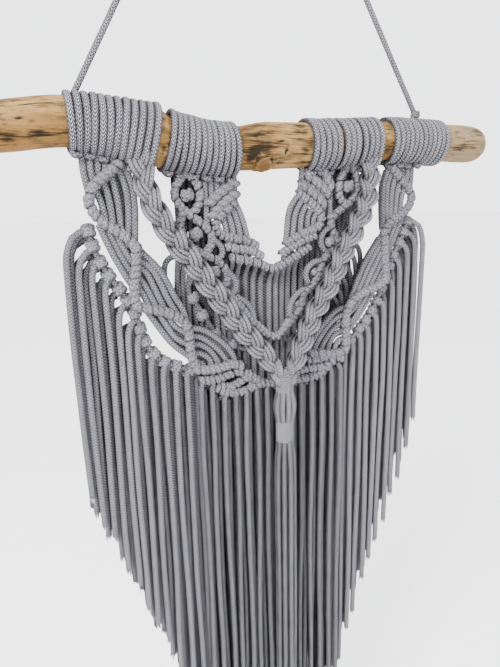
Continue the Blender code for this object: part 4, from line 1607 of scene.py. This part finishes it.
@dataclass(frozen=True)
class Curtain:
    """How the strands hang from the V, some from its front and ones behind them, darkened with painted
    shade.
    """

    radius: float
    depth: float
    root: float
    tint: float
    shoulder: tuple[Spot, ...] = ((-1.5, 9.0), (0.0, 20.0))
    straight_from: float = 60.0
    places: int = 9
    jitter: float = 6.0
    drift: float = 0.6

    def drop(self, skein: Skein, fringe: Fringe, x: float, top: float) -> None:
        """Lays one strand.

        Args:
            skein: the panel's cords.
            fringe: the hem that it is cut to, and how worn it is.
            x: where it hangs.
            top: its knot's height.
        """
        bend = [(x, self.depth + back, top - down) for back, down in self.shoulder]
        foot = fringe.hem(x) + skein.draw.uniform(-self.jitter, self.jitter)
        rest = [(x + skein.draw.uniform(-self.drift, self.drift), self.depth, z)
                for z in np.linspace(top - self.straight_from, foot, self.places)]
        path = smooth(np.array([(x, self.root, top), *bend, *rest]), LONG_STEP)
        skein.lay(path, self.radius, end=End.FRAYED, tint=self.tint, worn=fringe.worn)


@dataclass
class CentrePanel:
    """The panel between the plaits: slanting rows, the V, ringed chains, rear knots and curtain."""

    fringe: Fringe
    front: float = -3.4
    chain_depth: float = -3.0
    lean: float = 0.4
    loop: float = 2.35
    loop_depth: float = -4.0
    loop_step: float = 2.0
    rear: float = 4.5
    rear_cord: float = 2.2
    # Painted shade: the cords and strands behind the plaits are darker.
    rear_cords_shade: float = -1.0
    strands_depth: float = 6.0
    rear_strands_shade: float = -2.2
    # Dark cords far behind the panel that stand in for the shade in its gaps: painted shadow.
    shadow_cords_depth: float = 9.0
    shadow_cords_half: Span = (3.8, 1.8)
    shadow_cords_sides: int = 6
    shadow_cords_step: float = 3.0
    shadow_cords_shade: float = -3.9
    aside: float = 1.0
    left_rise: Span = (0.55, 12.0)
    right_rise: Span = (0.5, -2.0)
    right_from: float = 14.0
    leaf: Leaf = Leaf(radius=2.3, depth=-2.0, rear=0.6, shaded=-2.2)
    # Painted shade: the curtain's strands are darker, and those behind them darker still.
    curtain: Curtain = Curtain(radius=2.25, depth=7.5, root=-2.4, tint=-0.6)
    rear_curtain: Curtain = Curtain(radius=2.9, depth=11.5, root=9.5, tint=-2.2)
    row: HalfHitches = HalfHitches(pitch=3.7, reach=2.05, lift=1.9, half_width=2.0, half_depth=1.6, core=2.2,
                                   slant=0.7)
    slanting: HalfHitches = HalfHitches(pitch=5.6, reach=2.2, lift=1.9, half_width=3.0, half_depth=1.8,
                                        core=2.7, slant=1.9)
    chain: HalfHitches = HalfHitches(pitch=4.2, reach=1.6, lift=1.5, half_width=2.4, half_depth=1.75,
                                     core=1.9, slant=1.2)
    berry: BerryKnot = BerryKnot()

    # Lines of the dark cords that stand in for the shade behind gaps in the panel.
    SHADOW_CORDS: ClassVar[Lines] = (
        [(-70, 98), (-70, 84), (-67, 68)], [(-64, 99), (-64, 80), (-62, 56)],
        [(-58, 99), (-58, 78), (-57, 42)], [(-52, 90), (-52, 66), (-51, 34)], [(-46, 62), (-46, 4)],
        [(-40, 56), (-40, -10)], [(-34, 54), (-34, -10)], [(-28, 44), (-28, -30)], [(56, 100), (56, 36)],
        [(62, 101), (62, 40)], [(68, 101), (68, 36)], [(74, 101), (74, 84), (71.5, 44)],
        [(80, 101), (80, 88), (78, 58)],
        [(90, 92), (87, 80), (83, 69), (77, 59), (71, 46), (63, 36), (57, 24), (50, 10)],
        [(85, 92), (82, 80), (78, 69), (72, 58), (66, 46), (58, 35), (52, 22), (46, 8)],
        [(50, 56), (50, -4)], [(44, 50), (44, -14)], [(38, 46), (38, -20)], [(31, 42), (31, -20)],
        [(25, 36), (25, -10)], [(76, 30), (78, 10), (78, -10)], [(70, 22), (71, 0), (71, -16)],
        [(64, 12), (64, -20)], [(58, 2), (57, -12), (55, -26)], [(68, -17), (57, -23), (47, -33), (40, -48)],
        [(67, -27), (58, -32), (50, -42), (46, -52)], [(66, -36), (60, -40), (56, -48), (55, -56)],
        [(66, -46), (63, -50), (62, -56)], [(-67, -18), (-56, -23), (-46, -33), (-40, -46)],
        [(-66, -28), (-58, -32), (-50, -40), (-47, -52)], [(-66, -37), (-59, -40), (-55, -47), (-55, -56)],
        [(-60, 32), (-62, 20), (-56, 8), (-50, -4), (-44, -14), (-36, -26), (-26, -36)],
        [(-56, 28), (-52, 14), (-45, 2), (-38, -10), (-30, -22), (-20, -34)],
        [(-60, 14), (-58, -4), (-52, -14), (-46, -24), (-38, -34), (-28, -42)],
        [(-64, 12), (-64, -6), (-63.5, -24)], [(-60, 10), (-59, -10), (-58, -26)],
        [(-55, -4), (-54, -16), (-53, -28)], [(-50, -6), (-50, -34)], [(-46, -10), (-45, -24), (-45, -38)],
        [(-41, -14), (-40.5, -30), (-40, -44)], [(-36, -22), (-36, -50)], [(-26, -34), (-26, -58)],
        [(-32, 31), (-20, 29), (-8, 25), (2, 22), (12, 26), (24, 31)],
        [(-30, 24), (-18, 23), (-8, 19), (2, 16), (12, 20), (24, 24)], [(-40, -30), (-38, -44), (-38, -56)],
        [(-31, -34), (-31, -58)], [(58, 34), (62, 24), (58, 10), (50, -4), (42, -14), (32, -26)],
        [(54, 26), (50, 12), (44, 2), (36, -10), (28, -22), (20, -34)], [(-55, -50), (-55, -68)],
        [(-50.5, -50), (-50.5, -70)], [(-46, -50), (-46, -72)], [(-41.5, -50), (-41.5, -74)],
        [(-37, -50), (-37, -74)], [(-32.5, -48), (-32.5, -74)], [(-28, -48), (-28, -74)],
        [(-23.5, -48), (-23.5, -74)], [(28, -48), (28, -74)], [(33, -48), (33, -74)], [(38, -48), (38, -72)],
        [(43, -48), (43, -70)], [(48, -48), (48, -66)], [(53, -48), (53, -62)],
    )
    SLANTING: ClassVar[Lines] = (
        [(-28.5, 89.5), (-35, 86), (-43, 80.5), (-51, 73.5)],
        [(-28.5, 82), (-36, 77), (-43, 71), (-48.5, 64.5)], [(28, 96), (36, 91.5), (44, 86), (50.5, 80)],
        [(24.5, 88.5), (33, 83), (40.5, 77.5), (47, 71.5)], [(38, 102), (43.5, 98.5), (48.5, 92), (52, 85)],
    )
    BARS: ClassVar[Lines] = (
        [(-30, 75), (-37, 70), (-43, 64.5), (-45.3, 58.5), (-41.5, 52.5), (-32, 49.5), (-21, 47.5),
         (-12, 42.5)], [(-38, 44.5), (-30, 41.8), (-19, 40.5), (-8, 35)],
        [(-35, 35.5), (-26, 33.5), (-13, 30.5), (0, 25.5), (12, 30), (23, 35.5), (33, 41)],
        [(21.5, 82), (30, 76.5), (38.5, 70), (43.5, 62.5), (40.5, 56), (32, 52.5), (22, 49.2), (10.5, 43.2)],
        [(38, 49.5), (26, 45.5), (15, 40.5), (7, 36)],
    )
    LEAVES: ClassVar[tuple[Lines, ...]] = (
        ([(-39.5, 65), (-37.5, 58), (-37, 52)], [(-36.5, 69.5), (-33, 61), (-31, 50)],
         [(-33, 73), (-28, 62), (-25.5, 49)], [(-29.5, 76), (-24, 64), (-19.5, 47)]),
        ([(-52.2, 104), (-52.2, 88), (-51.5, 60)], [(-47.8, 104), (-47.8, 90), (-46.5, 66)],
         [(-43.3, 104), (-43.3, 92), (-42, 70)], [(-38.8, 104), (-38.8, 92), (-38, 74)],
         [(-34.2, 104), (-34.2, 92), (-33.5, 78)], [(-29.8, 104), (-29.6, 90), (-29.2, 76)]),
        ([(39, 66), (36.5, 60.5), (37.5, 54)], [(34, 69), (31.5, 63), (31.5, 55)],
         [(30, 73), (26, 64), (24.5, 51)],
         [(26, 76), (20.5, 66), (18, 49)], [(22, 79), (15, 68), (12, 45)]),
        ([(27, 110), (26.4, 98), (24.4, 82)], [(31.5, 110), (31, 80)], [(36, 110), (36, 76)],
         [(40.5, 110), (40.5, 72)], [(45, 110), (45, 68)], [(50, 108), (51.2, 92), (52, 64)]),
        ([(-24, 48), (-23, 41), (-22, 32)], [(-31, 48), (-31, 41), (-30, 34)]),
        ([(25, 52), (24, 45), (23, 36)], [(32, 52), (31.5, 45), (31, 38)]),
    )
    LOOPS: ClassVar[Lines] = (
        [(-49, 49), (-44.2, 46.6), (-41.4, 42), (-42.4, 37), (-47, 34.2)],
        [(-39, 25), (-33.5, 21.5), (-31.2, 15.5), (-33, 10), (-38, 7)],
        [(-31, 6), (-24, 1.5), (-18.5, -5.5), (-17.5, -13), (-22, -17.5)],
        [(51, 55), (45, 51), (42.8, 44), (45.5, 38), (51, 35)],
        [(44, 29.5), (37, 28.5), (31, 24.5), (29, 18), (31.5, 11.5)],
        [(27, 7.5), (20.5, 3.5), (15.5, -3), (14, -10), (17.5, -16)],
    )
    CHAINS: ClassVar[Lines] = (
        [(-66, 95), (-71, 90), (-74.4, 84), (-74, 77.5), (-69.5, 71.5), (-63, 66), (-56, 61),
         (-50.5, 55.5), (-48.5, 49), (-51.5, 42.5), (-57, 38)],
        [(-64.5, 95), (-59, 89.5), (-56.3, 82), (-57.5, 75), (-61.5, 68)],
        [(-68.5, 70), (-72, 60), (-68, 49), (-60, 41.5), (-53, 38), (-46, 34.6), (-40.3, 29.5),
         (-37.8, 23), (-39, 16.5), (-44, 12)],
        [(-46, 16), (-39, 10), (-32, 4), (-26, -4), (-18.5, -13), (-10, -21.5), (-2, -27.8), (4, -28.5),
         (10, -22.5), (15, -15)], [(66, 102), (61.5, 94), (59.3, 86), (60.6, 78), (66, 72.5)],
        [(71.5, 102), (76.5, 93), (77, 84.5), (73, 77), (66, 71.5), (59, 67), (53.5, 62)],
        [(52.5, 66), (52.3, 58), (54.5, 51), (58.5, 46), (57.5, 39.5), (51.5, 35), (46, 30), (42.5, 22),
         (38.5, 13), (32, 7), (26.8, 3), (25.5, -5), (21, -12.5), (15, -18), (11, -22)],
    )
    BERRIES: ClassVar[tuple[Place, ...]] = (
        (-65.6, 80.5, 5.2), (-60.6, 53.5, 5.3), (-48, 26, 5), (68.2, 86.5, 5.4), (51.5, 44, 4.7),
        (37, 20.5, 3.4), (21.5, -4, 3),
    )
    REAR_CORDS: ClassVar[Lines] = (
        [(-58, 30), (-62, 22), (-66, 15), (-64, 7), (-58, -2), (-50, -16), (-43, -24), (-33, -32),
         (-20, -38), (-8, -23)],
        [(62, 34), (65, 26), (66, 18), (63, 10), (56, 0), (45, -14), (36, -24), (26, -32), (15, -34),
         (8, -25)],
    )
    REAR_KNOTS: ClassVar[tuple[Place, ...]] = (
        (-62.5, 7, 4.9), (-56, -7, 5), (-46, -22.5, 4.8), (-33, -33, 4.8), (63, 10, 4.6), (54, -3, 4.6),
    )
    REAR_STRANDS: ClassVar[Lines] = (
        [(-51, 98), (-52.5, 70), (-52, 38)], [(-56, 97), (-57, 75), (-56.5, 36)],
        [(-60.5, 96), (-61.5, 70), (-61, 34)], [(-65.5, 96), (-66, 75), (-66, 40)],
        [(-70, 94), (-70.5, 80), (-70.5, 60)], [(-43.5, 58), (-44, 30), (-44, 0), (-43, -30)],
        [(-38.5, 54), (-39, 20), (-39, -10), (-38.5, -40)], [(-34, 50), (-34.5, 10), (-34, -20), (-34, -50)],
        [(48, 100), (47.5, 85), (46.5, 60)], [(56, 102), (55.5, 80), (55.5, 34)], [(60.5, 102), (60.5, 30)],
        [(65, 102), (65, 50)], [(70, 102), (70, 85), (69, 66)], [(46, 60), (45.5, 40), (44, 0), (43, -30)],
        [(50.5, 60), (50.5, 40), (49.5, 10), (48, -20)], [(40.5, 52), (40, 30), (39, 0), (38, -40)],
        [(35.5, 56), (35, 20), (34, -10), (33, -50)], [(30.5, 54), (30, 10), (29, -20), (28, -50)],
        [(-64, 36), (-73, 38), (-79, 36.5), (-82.5, 31), (-83, 20), (-82.5, 4)],
        [(-71.5, 42), (-72.8, 30), (-74.3, 12), (-74.4, -8)], [(-67, 40), (-69, 24), (-70, 8), (-70.2, -12)],
        [(-63, 34), (-65, 18), (-65.8, 6), (-66, -16)], [(-60.5, 4), (-61, -6), (-61, -18)],
        [(-56, -6), (-56.4, -14), (-56.4, -26)], [(-52, -6), (-52, -26)],
        [(-48, -27), (-48.4, -36), (-48, -44)], [(-44, -28), (-44, -36), (-43.6, -44)],
        [(-36, -34), (-35, -44), (-35, -52)], [(-27, -36), (-27, -60)], [(-21, -38), (-21, -60)],
        [(74, 44), (82, 41), (87, 34), (88.5, 22), (88, 6)],
        [(72, 36), (79, 32), (83, 24), (84, 10), (83.5, -8)], [(70, 26), (75, 22), (78.8, 12), (79.4, -14)],
        [(64, 18), (70, 13), (74.4, 4), (75, -16)], [(60, 8), (65.5, 4), (69.8, -4), (70.4, -18)],
        [(58, 0), (62, -4), (65.6, -10), (66, -22)], [(26, -34), (26, -56)],
    )
    CURTAIN: ClassVar[Line] = (
        (-31.5, 34.5), (-26, 33.5), (-19, 32), (-12.5, 30.2), (-6, 28), (1.5, 26.2), (7.5, 28.3),
        (13, 30.6), (18.5, 33.2), (24.5, 36),
    )

    def build(self, finish: Material) -> None:
        """Makes the panel.

        Args:
            finish: the cord's material.
        """
        skein = Skein("centre_panel_cords", 61)
        for points in self.BARS:
            self.row.tie(skein, set_at(points, self.front))
        for points in self.SLANTING:
            self.slanting.tie(skein, set_at(points, self.front))
        for points in self.LOOPS:
            skein.lay(smooth(set_at(points, self.loop_depth), self.loop_step), self.loop)
        for points in self.CHAINS:
            self.chain.tie(skein, set_at(points, self.chain_depth))
        for x, z, radius in self.BERRIES:
            lean = skein.draw.uniform(-self.lean, self.lean)
            self.berry.tie(skein, np.array([x, self.chain_depth, z]), radius, lean)
        for lines in self.LEAVES:
            self.leaf.lay(skein, lines)
        self._rear(skein)
        for x, top in self.CURTAIN:
            self.curtain.drop(skein, self.fringe, x, top)
        for (x, top), (other_x, other_top) in zip(self.CURTAIN, self.CURTAIN[1:]):
            middle = (x + other_x) / 2 + self.aside
            self.rear_curtain.drop(skein, self.fringe, middle, (top + other_top) / 2 + self._rise(middle))
        dress(skein.mesh(), finish, COTTON_SLOT, "centre_panel")

    def _rise(self, x: float) -> float:
        """How far above its neighbours' knots a strand behind the curtain starts.

        Args:
            x: where it hangs.

        Returns:
            The rise, in millimetres.
        """
        if x < 0:
            share, most = self.left_rise
            return min(most, share * -x)
        share, least = self.right_rise
        return max(least, share * (x - self.right_from))

    def _rear(self, skein: Skein) -> None:
        """The knots, cords and strands behind the plaits, the cords and strands darkened with painted shade,
        and dark cords that are painted shadow in the gaps.

        Args:
            skein: the panel's cords.
        """
        for points in self.REAR_CORDS:
            path = set_at(points, self.rear)
            path[[0, -1], 1] = self.chain_depth
            skein.lay(smooth(path, STRAND_STEP), self.rear_cord, tint=self.rear_cords_shade)
        for x, z, radius in self.REAR_KNOTS:
            self.berry.tie(skein, np.array([x, self.rear, z]), radius)
        for points in self.REAR_STRANDS:
            path = smooth(set_at(points, self.strands_depth), STRAND_STEP)
            skein.lay(path, self.rear_cord, tint=self.rear_strands_shade)
        # Painted shadow: dark cords in the gaps.
        for points in self.SHADOW_CORDS:
            path = smooth(set_at(points, self.shadow_cords_depth), self.shadow_cords_step)
            skein.lay(path, *self.shadow_cords_half, self.shadow_cords_sides, tint=self.shadow_cords_shade)


@dataclass
class BaseFringe:
    """The swirled bottom rows and the middle fringe."""

    fringe: Fringe
    front: float = -3.4
    # Painted shade: the middle fringe is darker than the swags' fringes.
    tint: float = -1.3
    # Painted shade on the cords' flanks.
    flank_shade: float = 3.6
    row: HalfHitches = HalfHitches(pitch=4.1, reach=2.1, lift=1.9, half_width=2.3, half_depth=1.75, core=2.2,
                                   slant=1.2)

    BARS: ClassVar[Lines] = (
        [(-63, -55.5), (-55, -56.6), (-47, -56.4), (-38, -54), (-30, -53.4), (-23, -56), (-17, -60)],
        [(-50, -62.5), (-45, -67), (-38, -69.4), (-30, -70), (-22, -68.6), (-13, -66), (-4, -67), (6, -67.6),
         (16, -67.4), (26, -67.6), (36, -67.2), (44, -66)],
        [(-46, -62.6), (-38, -64.6), (-30, -61.6), (-24, -59), (-17, -61.2), (-10, -65.5)],
        [(18, -61.5), (26, -60), (35, -59.6), (44, -60.4), (52, -59)],
        [(30, -52), (40, -52.6), (50, -52), (60, -53.4), (66, -56)],
        [(44, -66), (48.5, -62.5), (52, -58), (57, -56)],
    )
    ROWS: ClassVar[tuple[Hang, ...]] = (
        Hang(-61, -57, -62.4, -3.6), Hang(-57, -57.5, -58.2, 1.2), Hang(-52, -58, -53.4, -3.6),
        Hang(-47.5, -66, -48.6, 1.2), Hang(-43, -68.5, -43.8, -3.6), Hang(-38.5, -69.5, -39, 1.2),
        Hang(-34, -69.6, -34.2, -3.6), Hang(-29.5, -68, -29.6, 1.2), Hang(-25, -66.6, -25, -3.6),
        Hang(-20.5, -64, -20.4, 1.2), Hang(-16, -62, -15.8, -3.6), Hang(-11, -64, -11, 1.2),
        Hang(-6, -65.5, -6.2, -2.6), Hang(-1, -66.5, -1.2, 1.6), Hang(4, -67, 3.8, -2.6),
        Hang(9, -67, 9, 1.6), Hang(14, -67, 14.4, -2.6), Hang(19, -67.5, 19.6, 1.2),
        Hang(24, -68, 24.6, -3.6), Hang(29, -68, 29.8, 1.2), Hang(34, -67.6, 35, -3.6),
        Hang(39, -66.5, 40.2, 1.2), Hang(42, -65, 45, -3.6), Hang(47, -61, 49.8, 1.2),
        Hang(52, -59.6, 54.6, -3.6), Hang(56, -59, 59.2, 1.2), Hang(60, -58.8, 63.8, -3.6),
    )

    def build(self, finish: Material) -> None:
        """Makes the rows and the fringe.

        Args:
            finish: the cord's material.
        """
        skein = Skein("base_fringe_cords", 71, flank_shade=self.flank_shade)
        for points in self.BARS:
            self.row.tie(skein, set_at(points, self.front))
        self.fringe.hang(skein, self.ROWS, self.front, self.tint)
        dress(skein.mesh(), finish, COTTON_SLOT, "base_fringe")


@dataclass
class Plait:
    """Three locks of three cords, crossing over each other down a curved line."""

    side: Side
    step: float = 1.5
    period: float = 47.0
    swing: float = 4.1
    lift: float = 3.7
    spacing: float = 2.95
    half_cord: float = 1.52
    gather: float = 0.05
    narrowest: float = 0.3
    narrowing: float = 34.0
    roll: float = 1.2
    crown: float = 0.5
    turned: float = 18.0
    tint: float = 0.3
    shadow: float = 3.2
    shadow_from: float = 0.1
    # Painted shade on the cords' flanks, between the cords of a lock.
    flank_shade: float = 4.2
    worn: float = 0.75

    LINES: ClassVar[dict[Side, tuple[Place, ...]]] = {
        Side.LEFT: [(-98, -9, 108), (-97, -11, 92), (-94.5, -14, 78), (-88.5, -15.2, 65), (-82.5, -15.2, 55),
                    (-75, -15.2, 44), (-67, -15.2, 34), (-58.5, -15.2, 21), (-50, -15.2, 8.5),
                    (-39, -15.2, -6.7), (-30.5, -15.2, -18.5), (-19, -15.2, -32.3), (-11, -16, -42.5),
                    (-5.5, -17, -52), (-1.4, -17.5, -63)],
        Side.RIGHT: [(85, -9, 108), (83, -11, 94), (79.5, -14, 80), (75, -15.2, 68), (69.7, -15.2, 59),
                     (63.8, -15.2, 47), (57, -15.2, 36.5), (51, -15.2, 24.7), (43.7, -15.2, 11),
                     (36.3, -15.2, -0.8), (29.4, -15.2, -11.6), (23.5, -15.2, -24), (17.5, -15.6, -36),
                     (13.2, -16.2, -46), (9.2, -17, -55), (6, -17.5, -64)],
    }

    def build(self, finish: Material) -> None:
        """Makes the plait.

        Args:
            finish: the cord's material.
        """
        skein = Skein(f"{self.side.value}_plait_cords", self.side.seed(81), flank_shade=self.flank_shade)
        line = smooth(np.array(self.LINES[self.side], float), self.step)
        along, run = directions(line), run_lengths(line)
        turned = math.radians(self.turned)
        front = square_to(np.array([-math.sin(turned), -math.cos(turned), 0.0]), along)
        across = np.cross(front, along)
        taper = np.clip(self.narrowest + (run[-1] - run) / self.narrowing, self.narrowest, 1.0)
        for lock in range(3):
            turn = FULL_TURN * (run / self.period + lock / 3)
            behind = np.sin(2 * turn)
            middle = line + across * (self.swing * taper * np.sin(turn))[:, None]
            middle = middle - front * (self.lift * behind)[:, None]
            aside = square_to(across, directions(middle))
            spread = self.spacing * taper * (1 - self.gather * (1 + behind))
            tint = self.tint - self.shadow * np.clip(behind + self.shadow_from, 0, 1)
            for cord in (-1, 0, 1):
                rise = self.crown * (1 - abs(cord)) - cord * self.roll * np.cos(turn)
                path = middle + aside * (cord * spread)[:, None] + front * rise[:, None]
                skein.lay(path, self.half_cord, tint=tint, worn=self.worn)
        dress(skein.mesh(), finish, COTTON_SLOT, f"{self.side.value}_plait")


@dataclass(frozen=True)
class Gather:
    """One gathering wrap: where its yarn starts and ends, and its radius at both."""

    top: float
    low: float
    first: float
    last: float


@dataclass
class PlaitTassel:
    """The tassel below the plaits: yarn wraps above and below a bulge, and a tail of cords."""

    x: float = 2.3
    y: float = -17.5
    flatness: float = 0.85
    # Painted shade on the cords' flanks.
    flank_shade: float = 4.6
    bulge_cords: int = 9
    bulge_half: Span = (2.35, 2.2)
    bulge_sides: int = 10
    bulge_step: float = 2.0
    bulge: Line = ((4.4, -52), (4.7, -68), (6.4, -76), (7.5, -83), (6.4, -91), (4.7, -97), (4.4, -112))
    tail: float = 2.2
    tail_rings: tuple[tuple[int, float, float], ...] = ((8, 7.4, 0.2), (3, 2.6, 0.0))
    tail_root: Line = ((0.62, -108), (0.72, -116), (0.95, -130))
    tail_top: float = -170.0
    tail_end: float = -505.0
    tail_places: int = 9
    tail_jitter: float = 9.0
    tail_wave: Place = (0.03, 1.7, 5.0)
    tail_step: float = 5.0
    # Painted shade: the tail is darker than the bulge above it.
    tail_shade: float = -0.8
    yarn: float = 0.92
    yarn_sides: int = 6
    # Painted shade on the yarn's flanks, between its turns.
    yarn_flank_shade: float = 5.0
    yarn_pitch: float = 1.7
    yarn_steps: int = 30
    yarn_wave: Spot = (0.12, 0.37)
    wraps: tuple[Gather, ...] = (Gather(-56.8, -69.8, 6.45, 6.55), Gather(-94.8, -111.8, 6.35, 6.55))

    def build(self, cotton: Material, yarn: Material) -> None:
        """Makes the tassel.

        Args:
            cotton: the cords' material.
            yarn: the wraps' material.
        """
        cords = Skein("plait_tassel_cords", 91, flank_shade=self.flank_shade)
        self._bulge(cords)
        self._tail(cords)
        dress(cords.mesh(), cotton, COTTON_SLOT, "plait_tassel")
        wraps = Skein("tassel_wraps", 92, flank_shade=self.yarn_flank_shade)
        for wrap in self.wraps:
            self._wrap(wraps, wrap)
        dress(wraps.mesh(), yarn, COTTON_SLOT, "plait_tassel")

    def _ring(self, count: int, start: float = 0.0) -> list[Spot]:
        """Places (x, y) round the tassel at a radius of 1, the first one at the start angle."""
        turns = [start + FULL_TURN * i / count for i in range(count)]
        return [(math.sin(t), -self.flatness * math.cos(t)) for t in turns]

    def _line(self, x: float, y: float, spots: Line) -> np.ndarray:
        """The line of the cord at (x, y) round the tassel, from its radii and heights."""
        return np.array([(self.x + x * radius, self.y + y * radius, z) for radius, z in spots])

    def _bulge(self, skein: Skein) -> None:
        """The cords between the two wraps.

        Args:
            skein: the tassel's cords.
        """
        for x, y in self._ring(self.bulge_cords):
            path = smooth(self._line(x, y, self.bulge), self.bulge_step)
            skein.lay(path, *self.bulge_half, self.bulge_sides)

    def _tail(self, skein: Skein) -> None:
        """The cords below the lower wrap.

        Args:
            skein: the tassel's cords.
        """
        share, turn, spread = self.tail_wave
        for count, radius, start in self.tail_rings:
            for x, y in self._ring(count, start):
                foot = self.tail_end + skein.draw.uniform(-self.tail_jitter, self.tail_jitter)
                heights = np.linspace(self.tail_top, foot, self.tail_places)
                waves = [(1.0 + share * math.sin(i * turn + x * spread), z) for i, z in enumerate(heights)]
                spots = [(radius * reach, z) for reach, z in (*self.tail_root, *waves)]
                path = smooth(self._line(x, y, spots), self.tail_step)
                skein.lay(path, self.tail, end=End.FRAYED, tint=self.tail_shade)

    def _wrap(self, skein: Skein, wrap: Gather) -> None:
        """Yarn wound tightly round the cords.

        Args:
            skein: the wraps' yarn.
            wrap: the wrap's ends.
        """
        turns = round((wrap.top - wrap.low) / (self.yarn_pitch * self.yarn))
        angle = np.linspace(0.0, FULL_TURN * turns, turns * self.yarn_steps + 1)
        share = angle / angle[-1]
        rise, turn = self.yarn_wave
        radius = wrap.first + (wrap.last - wrap.first) * share + rise * np.sin(angle * turn)
        away = np.stack([radius * np.sin(angle), -radius * self.flatness * np.cos(angle), 0 * angle], 1)
        path = away + np.array([self.x, self.y, 0.0])
        path[:, 2] = wrap.top + (wrap.low - wrap.top) * share
        skein.lay(path, self.yarn, sides=self.yarn_sides, facing=away)


# The studio


@dataclass(frozen=True)
class PaleFloor:
    """A plain pale floor with a faint speckle."""

    name: str = "pale_floor"
    light: Colour = (0.93, 0.93, 0.93)
    dark: Colour = (0.90, 0.90, 0.90)
    speck: Grain = Grain(30.0, 2.0)
    roughness: float = 0.9
    depth: float = 0.0001

    def build(self) -> Material:
        """Makes the floor's material.

        Returns:
            The material.
        """
        shade = Shading(self.name)
        speck = shade.noise(self.speck)
        return shade.finish(shade.mix(speck, self.dark, self.light), self.roughness, speck, self.depth)


@dataclass(frozen=True)
class Studio:
    """A plain pale floor, soft light, and the camera where the photographer stood."""

    camera_place: Place = (-172.4, -351.8, 65.4)
    yaw: float = 23.56
    pitch: float = 13.21
    roll: float = -1.35
    lens: float = 27.04
    film: float = 36.0
    nearest: float = 0.02
    floor_drop: float = 90.0
    floor_size: float = 400.0
    surround: Colour = (0.93, 0.94, 0.96)
    surround_strength: float = 3.6
    lamp_place: Place = (-1.3, -1.0, 0.8)
    lamp_aim: Place = (0.0, 0.0, -0.4)
    lamp_size: float = 0.5
    lamp_power: float = 110.0

    def build(self) -> None:
        """Makes the floor, the lights and the camera."""
        self._floor()
        self._lights()
        self._camera()

    def _floor(self) -> None:
        """A wide plain floor below the fringe."""
        low = CAD_BOX[0].z - self.floor_drop * MM
        bpy.ops.mesh.primitive_plane_add(size=self.floor_size, location=(0, 0, low))
        floor = bpy.context.object
        floor.name = "floor"
        floor.data.materials.append(PaleFloor().build())

    def _lights(self) -> None:
        """A pale surround, and a soft key light from the upper left aimed at the panel."""
        world = bpy.data.worlds.new("pale_surround")
        bpy.context.scene.world = world
        world.use_nodes = True
        surround = world.node_tree.nodes["Background"]
        surround.inputs["Color"].default_value = (*self.surround, 1.0)
        surround.inputs["Strength"].default_value = self.surround_strength
        data = bpy.data.lights.new("key", "AREA")
        data.size = self.lamp_size
        data.energy = self.lamp_power
        lamp = bpy.data.objects.new("key", data)
        aim = (Vector(self.lamp_aim) - Vector(self.lamp_place)).to_track_quat("-Z", "Y")
        lamp.matrix_world = Matrix.Translation(self.lamp_place) @ aim.to_matrix().to_4x4()
        bpy.context.scene.collection.objects.link(lamp)

    def _camera(self) -> None:
        """The camera at the photograph's angle."""
        yaw, pitch, roll = map(math.radians, (self.yaw, self.pitch, self.roll))
        level = math.cos(pitch)
        forward = Vector((math.sin(yaw) * level, math.cos(yaw) * level, -math.sin(pitch)))
        right = Vector((math.cos(yaw), -math.sin(yaw), 0.0))
        up = right.cross(forward)
        rolled = right * math.cos(roll) + up * math.sin(roll)
        top = up * math.cos(roll) - right * math.sin(roll)
        turn = Matrix((rolled, top, -forward)).transposed().to_4x4()
        data = bpy.data.cameras.new("photographer")
        data.sensor_width = self.film
        data.lens = self.lens
        data.clip_start = self.nearest
        camera = bpy.data.objects.new("photographer", data)
        camera.matrix_world = Matrix.Translation((np.array(self.camera_place) - NAIL) * MM) @ turn
        bpy.context.scene.collection.objects.link(camera)
        bpy.context.scene.camera = camera


def main() -> None:
    """Builds the hanging from the stick down, then the studio round it."""
    logging.basicConfig(level=logging.INFO, format="%(name)s %(message)s")
    cotton = BraidedCotton().build()
    yarn = FineYarn().build()
    wood = BareDriftwood().build()
    stick = Driftwood()
    fringe = Fringe()
    stick.build(wood)
    MountWraps(stick).build(cotton)
    HangingCord().build(cotton)
    for side in Side:
        Wing(side).build(cotton)
        Swag(side, fringe).build(cotton)
        Plait(side).build(cotton)
    CentrePanel(fringe).build(cotton)
    BaseFringe(fringe).build(cotton)
    PlaitTassel().build(cotton, yarn)
    Studio().build()


if __name__ == "__main__":
    main()
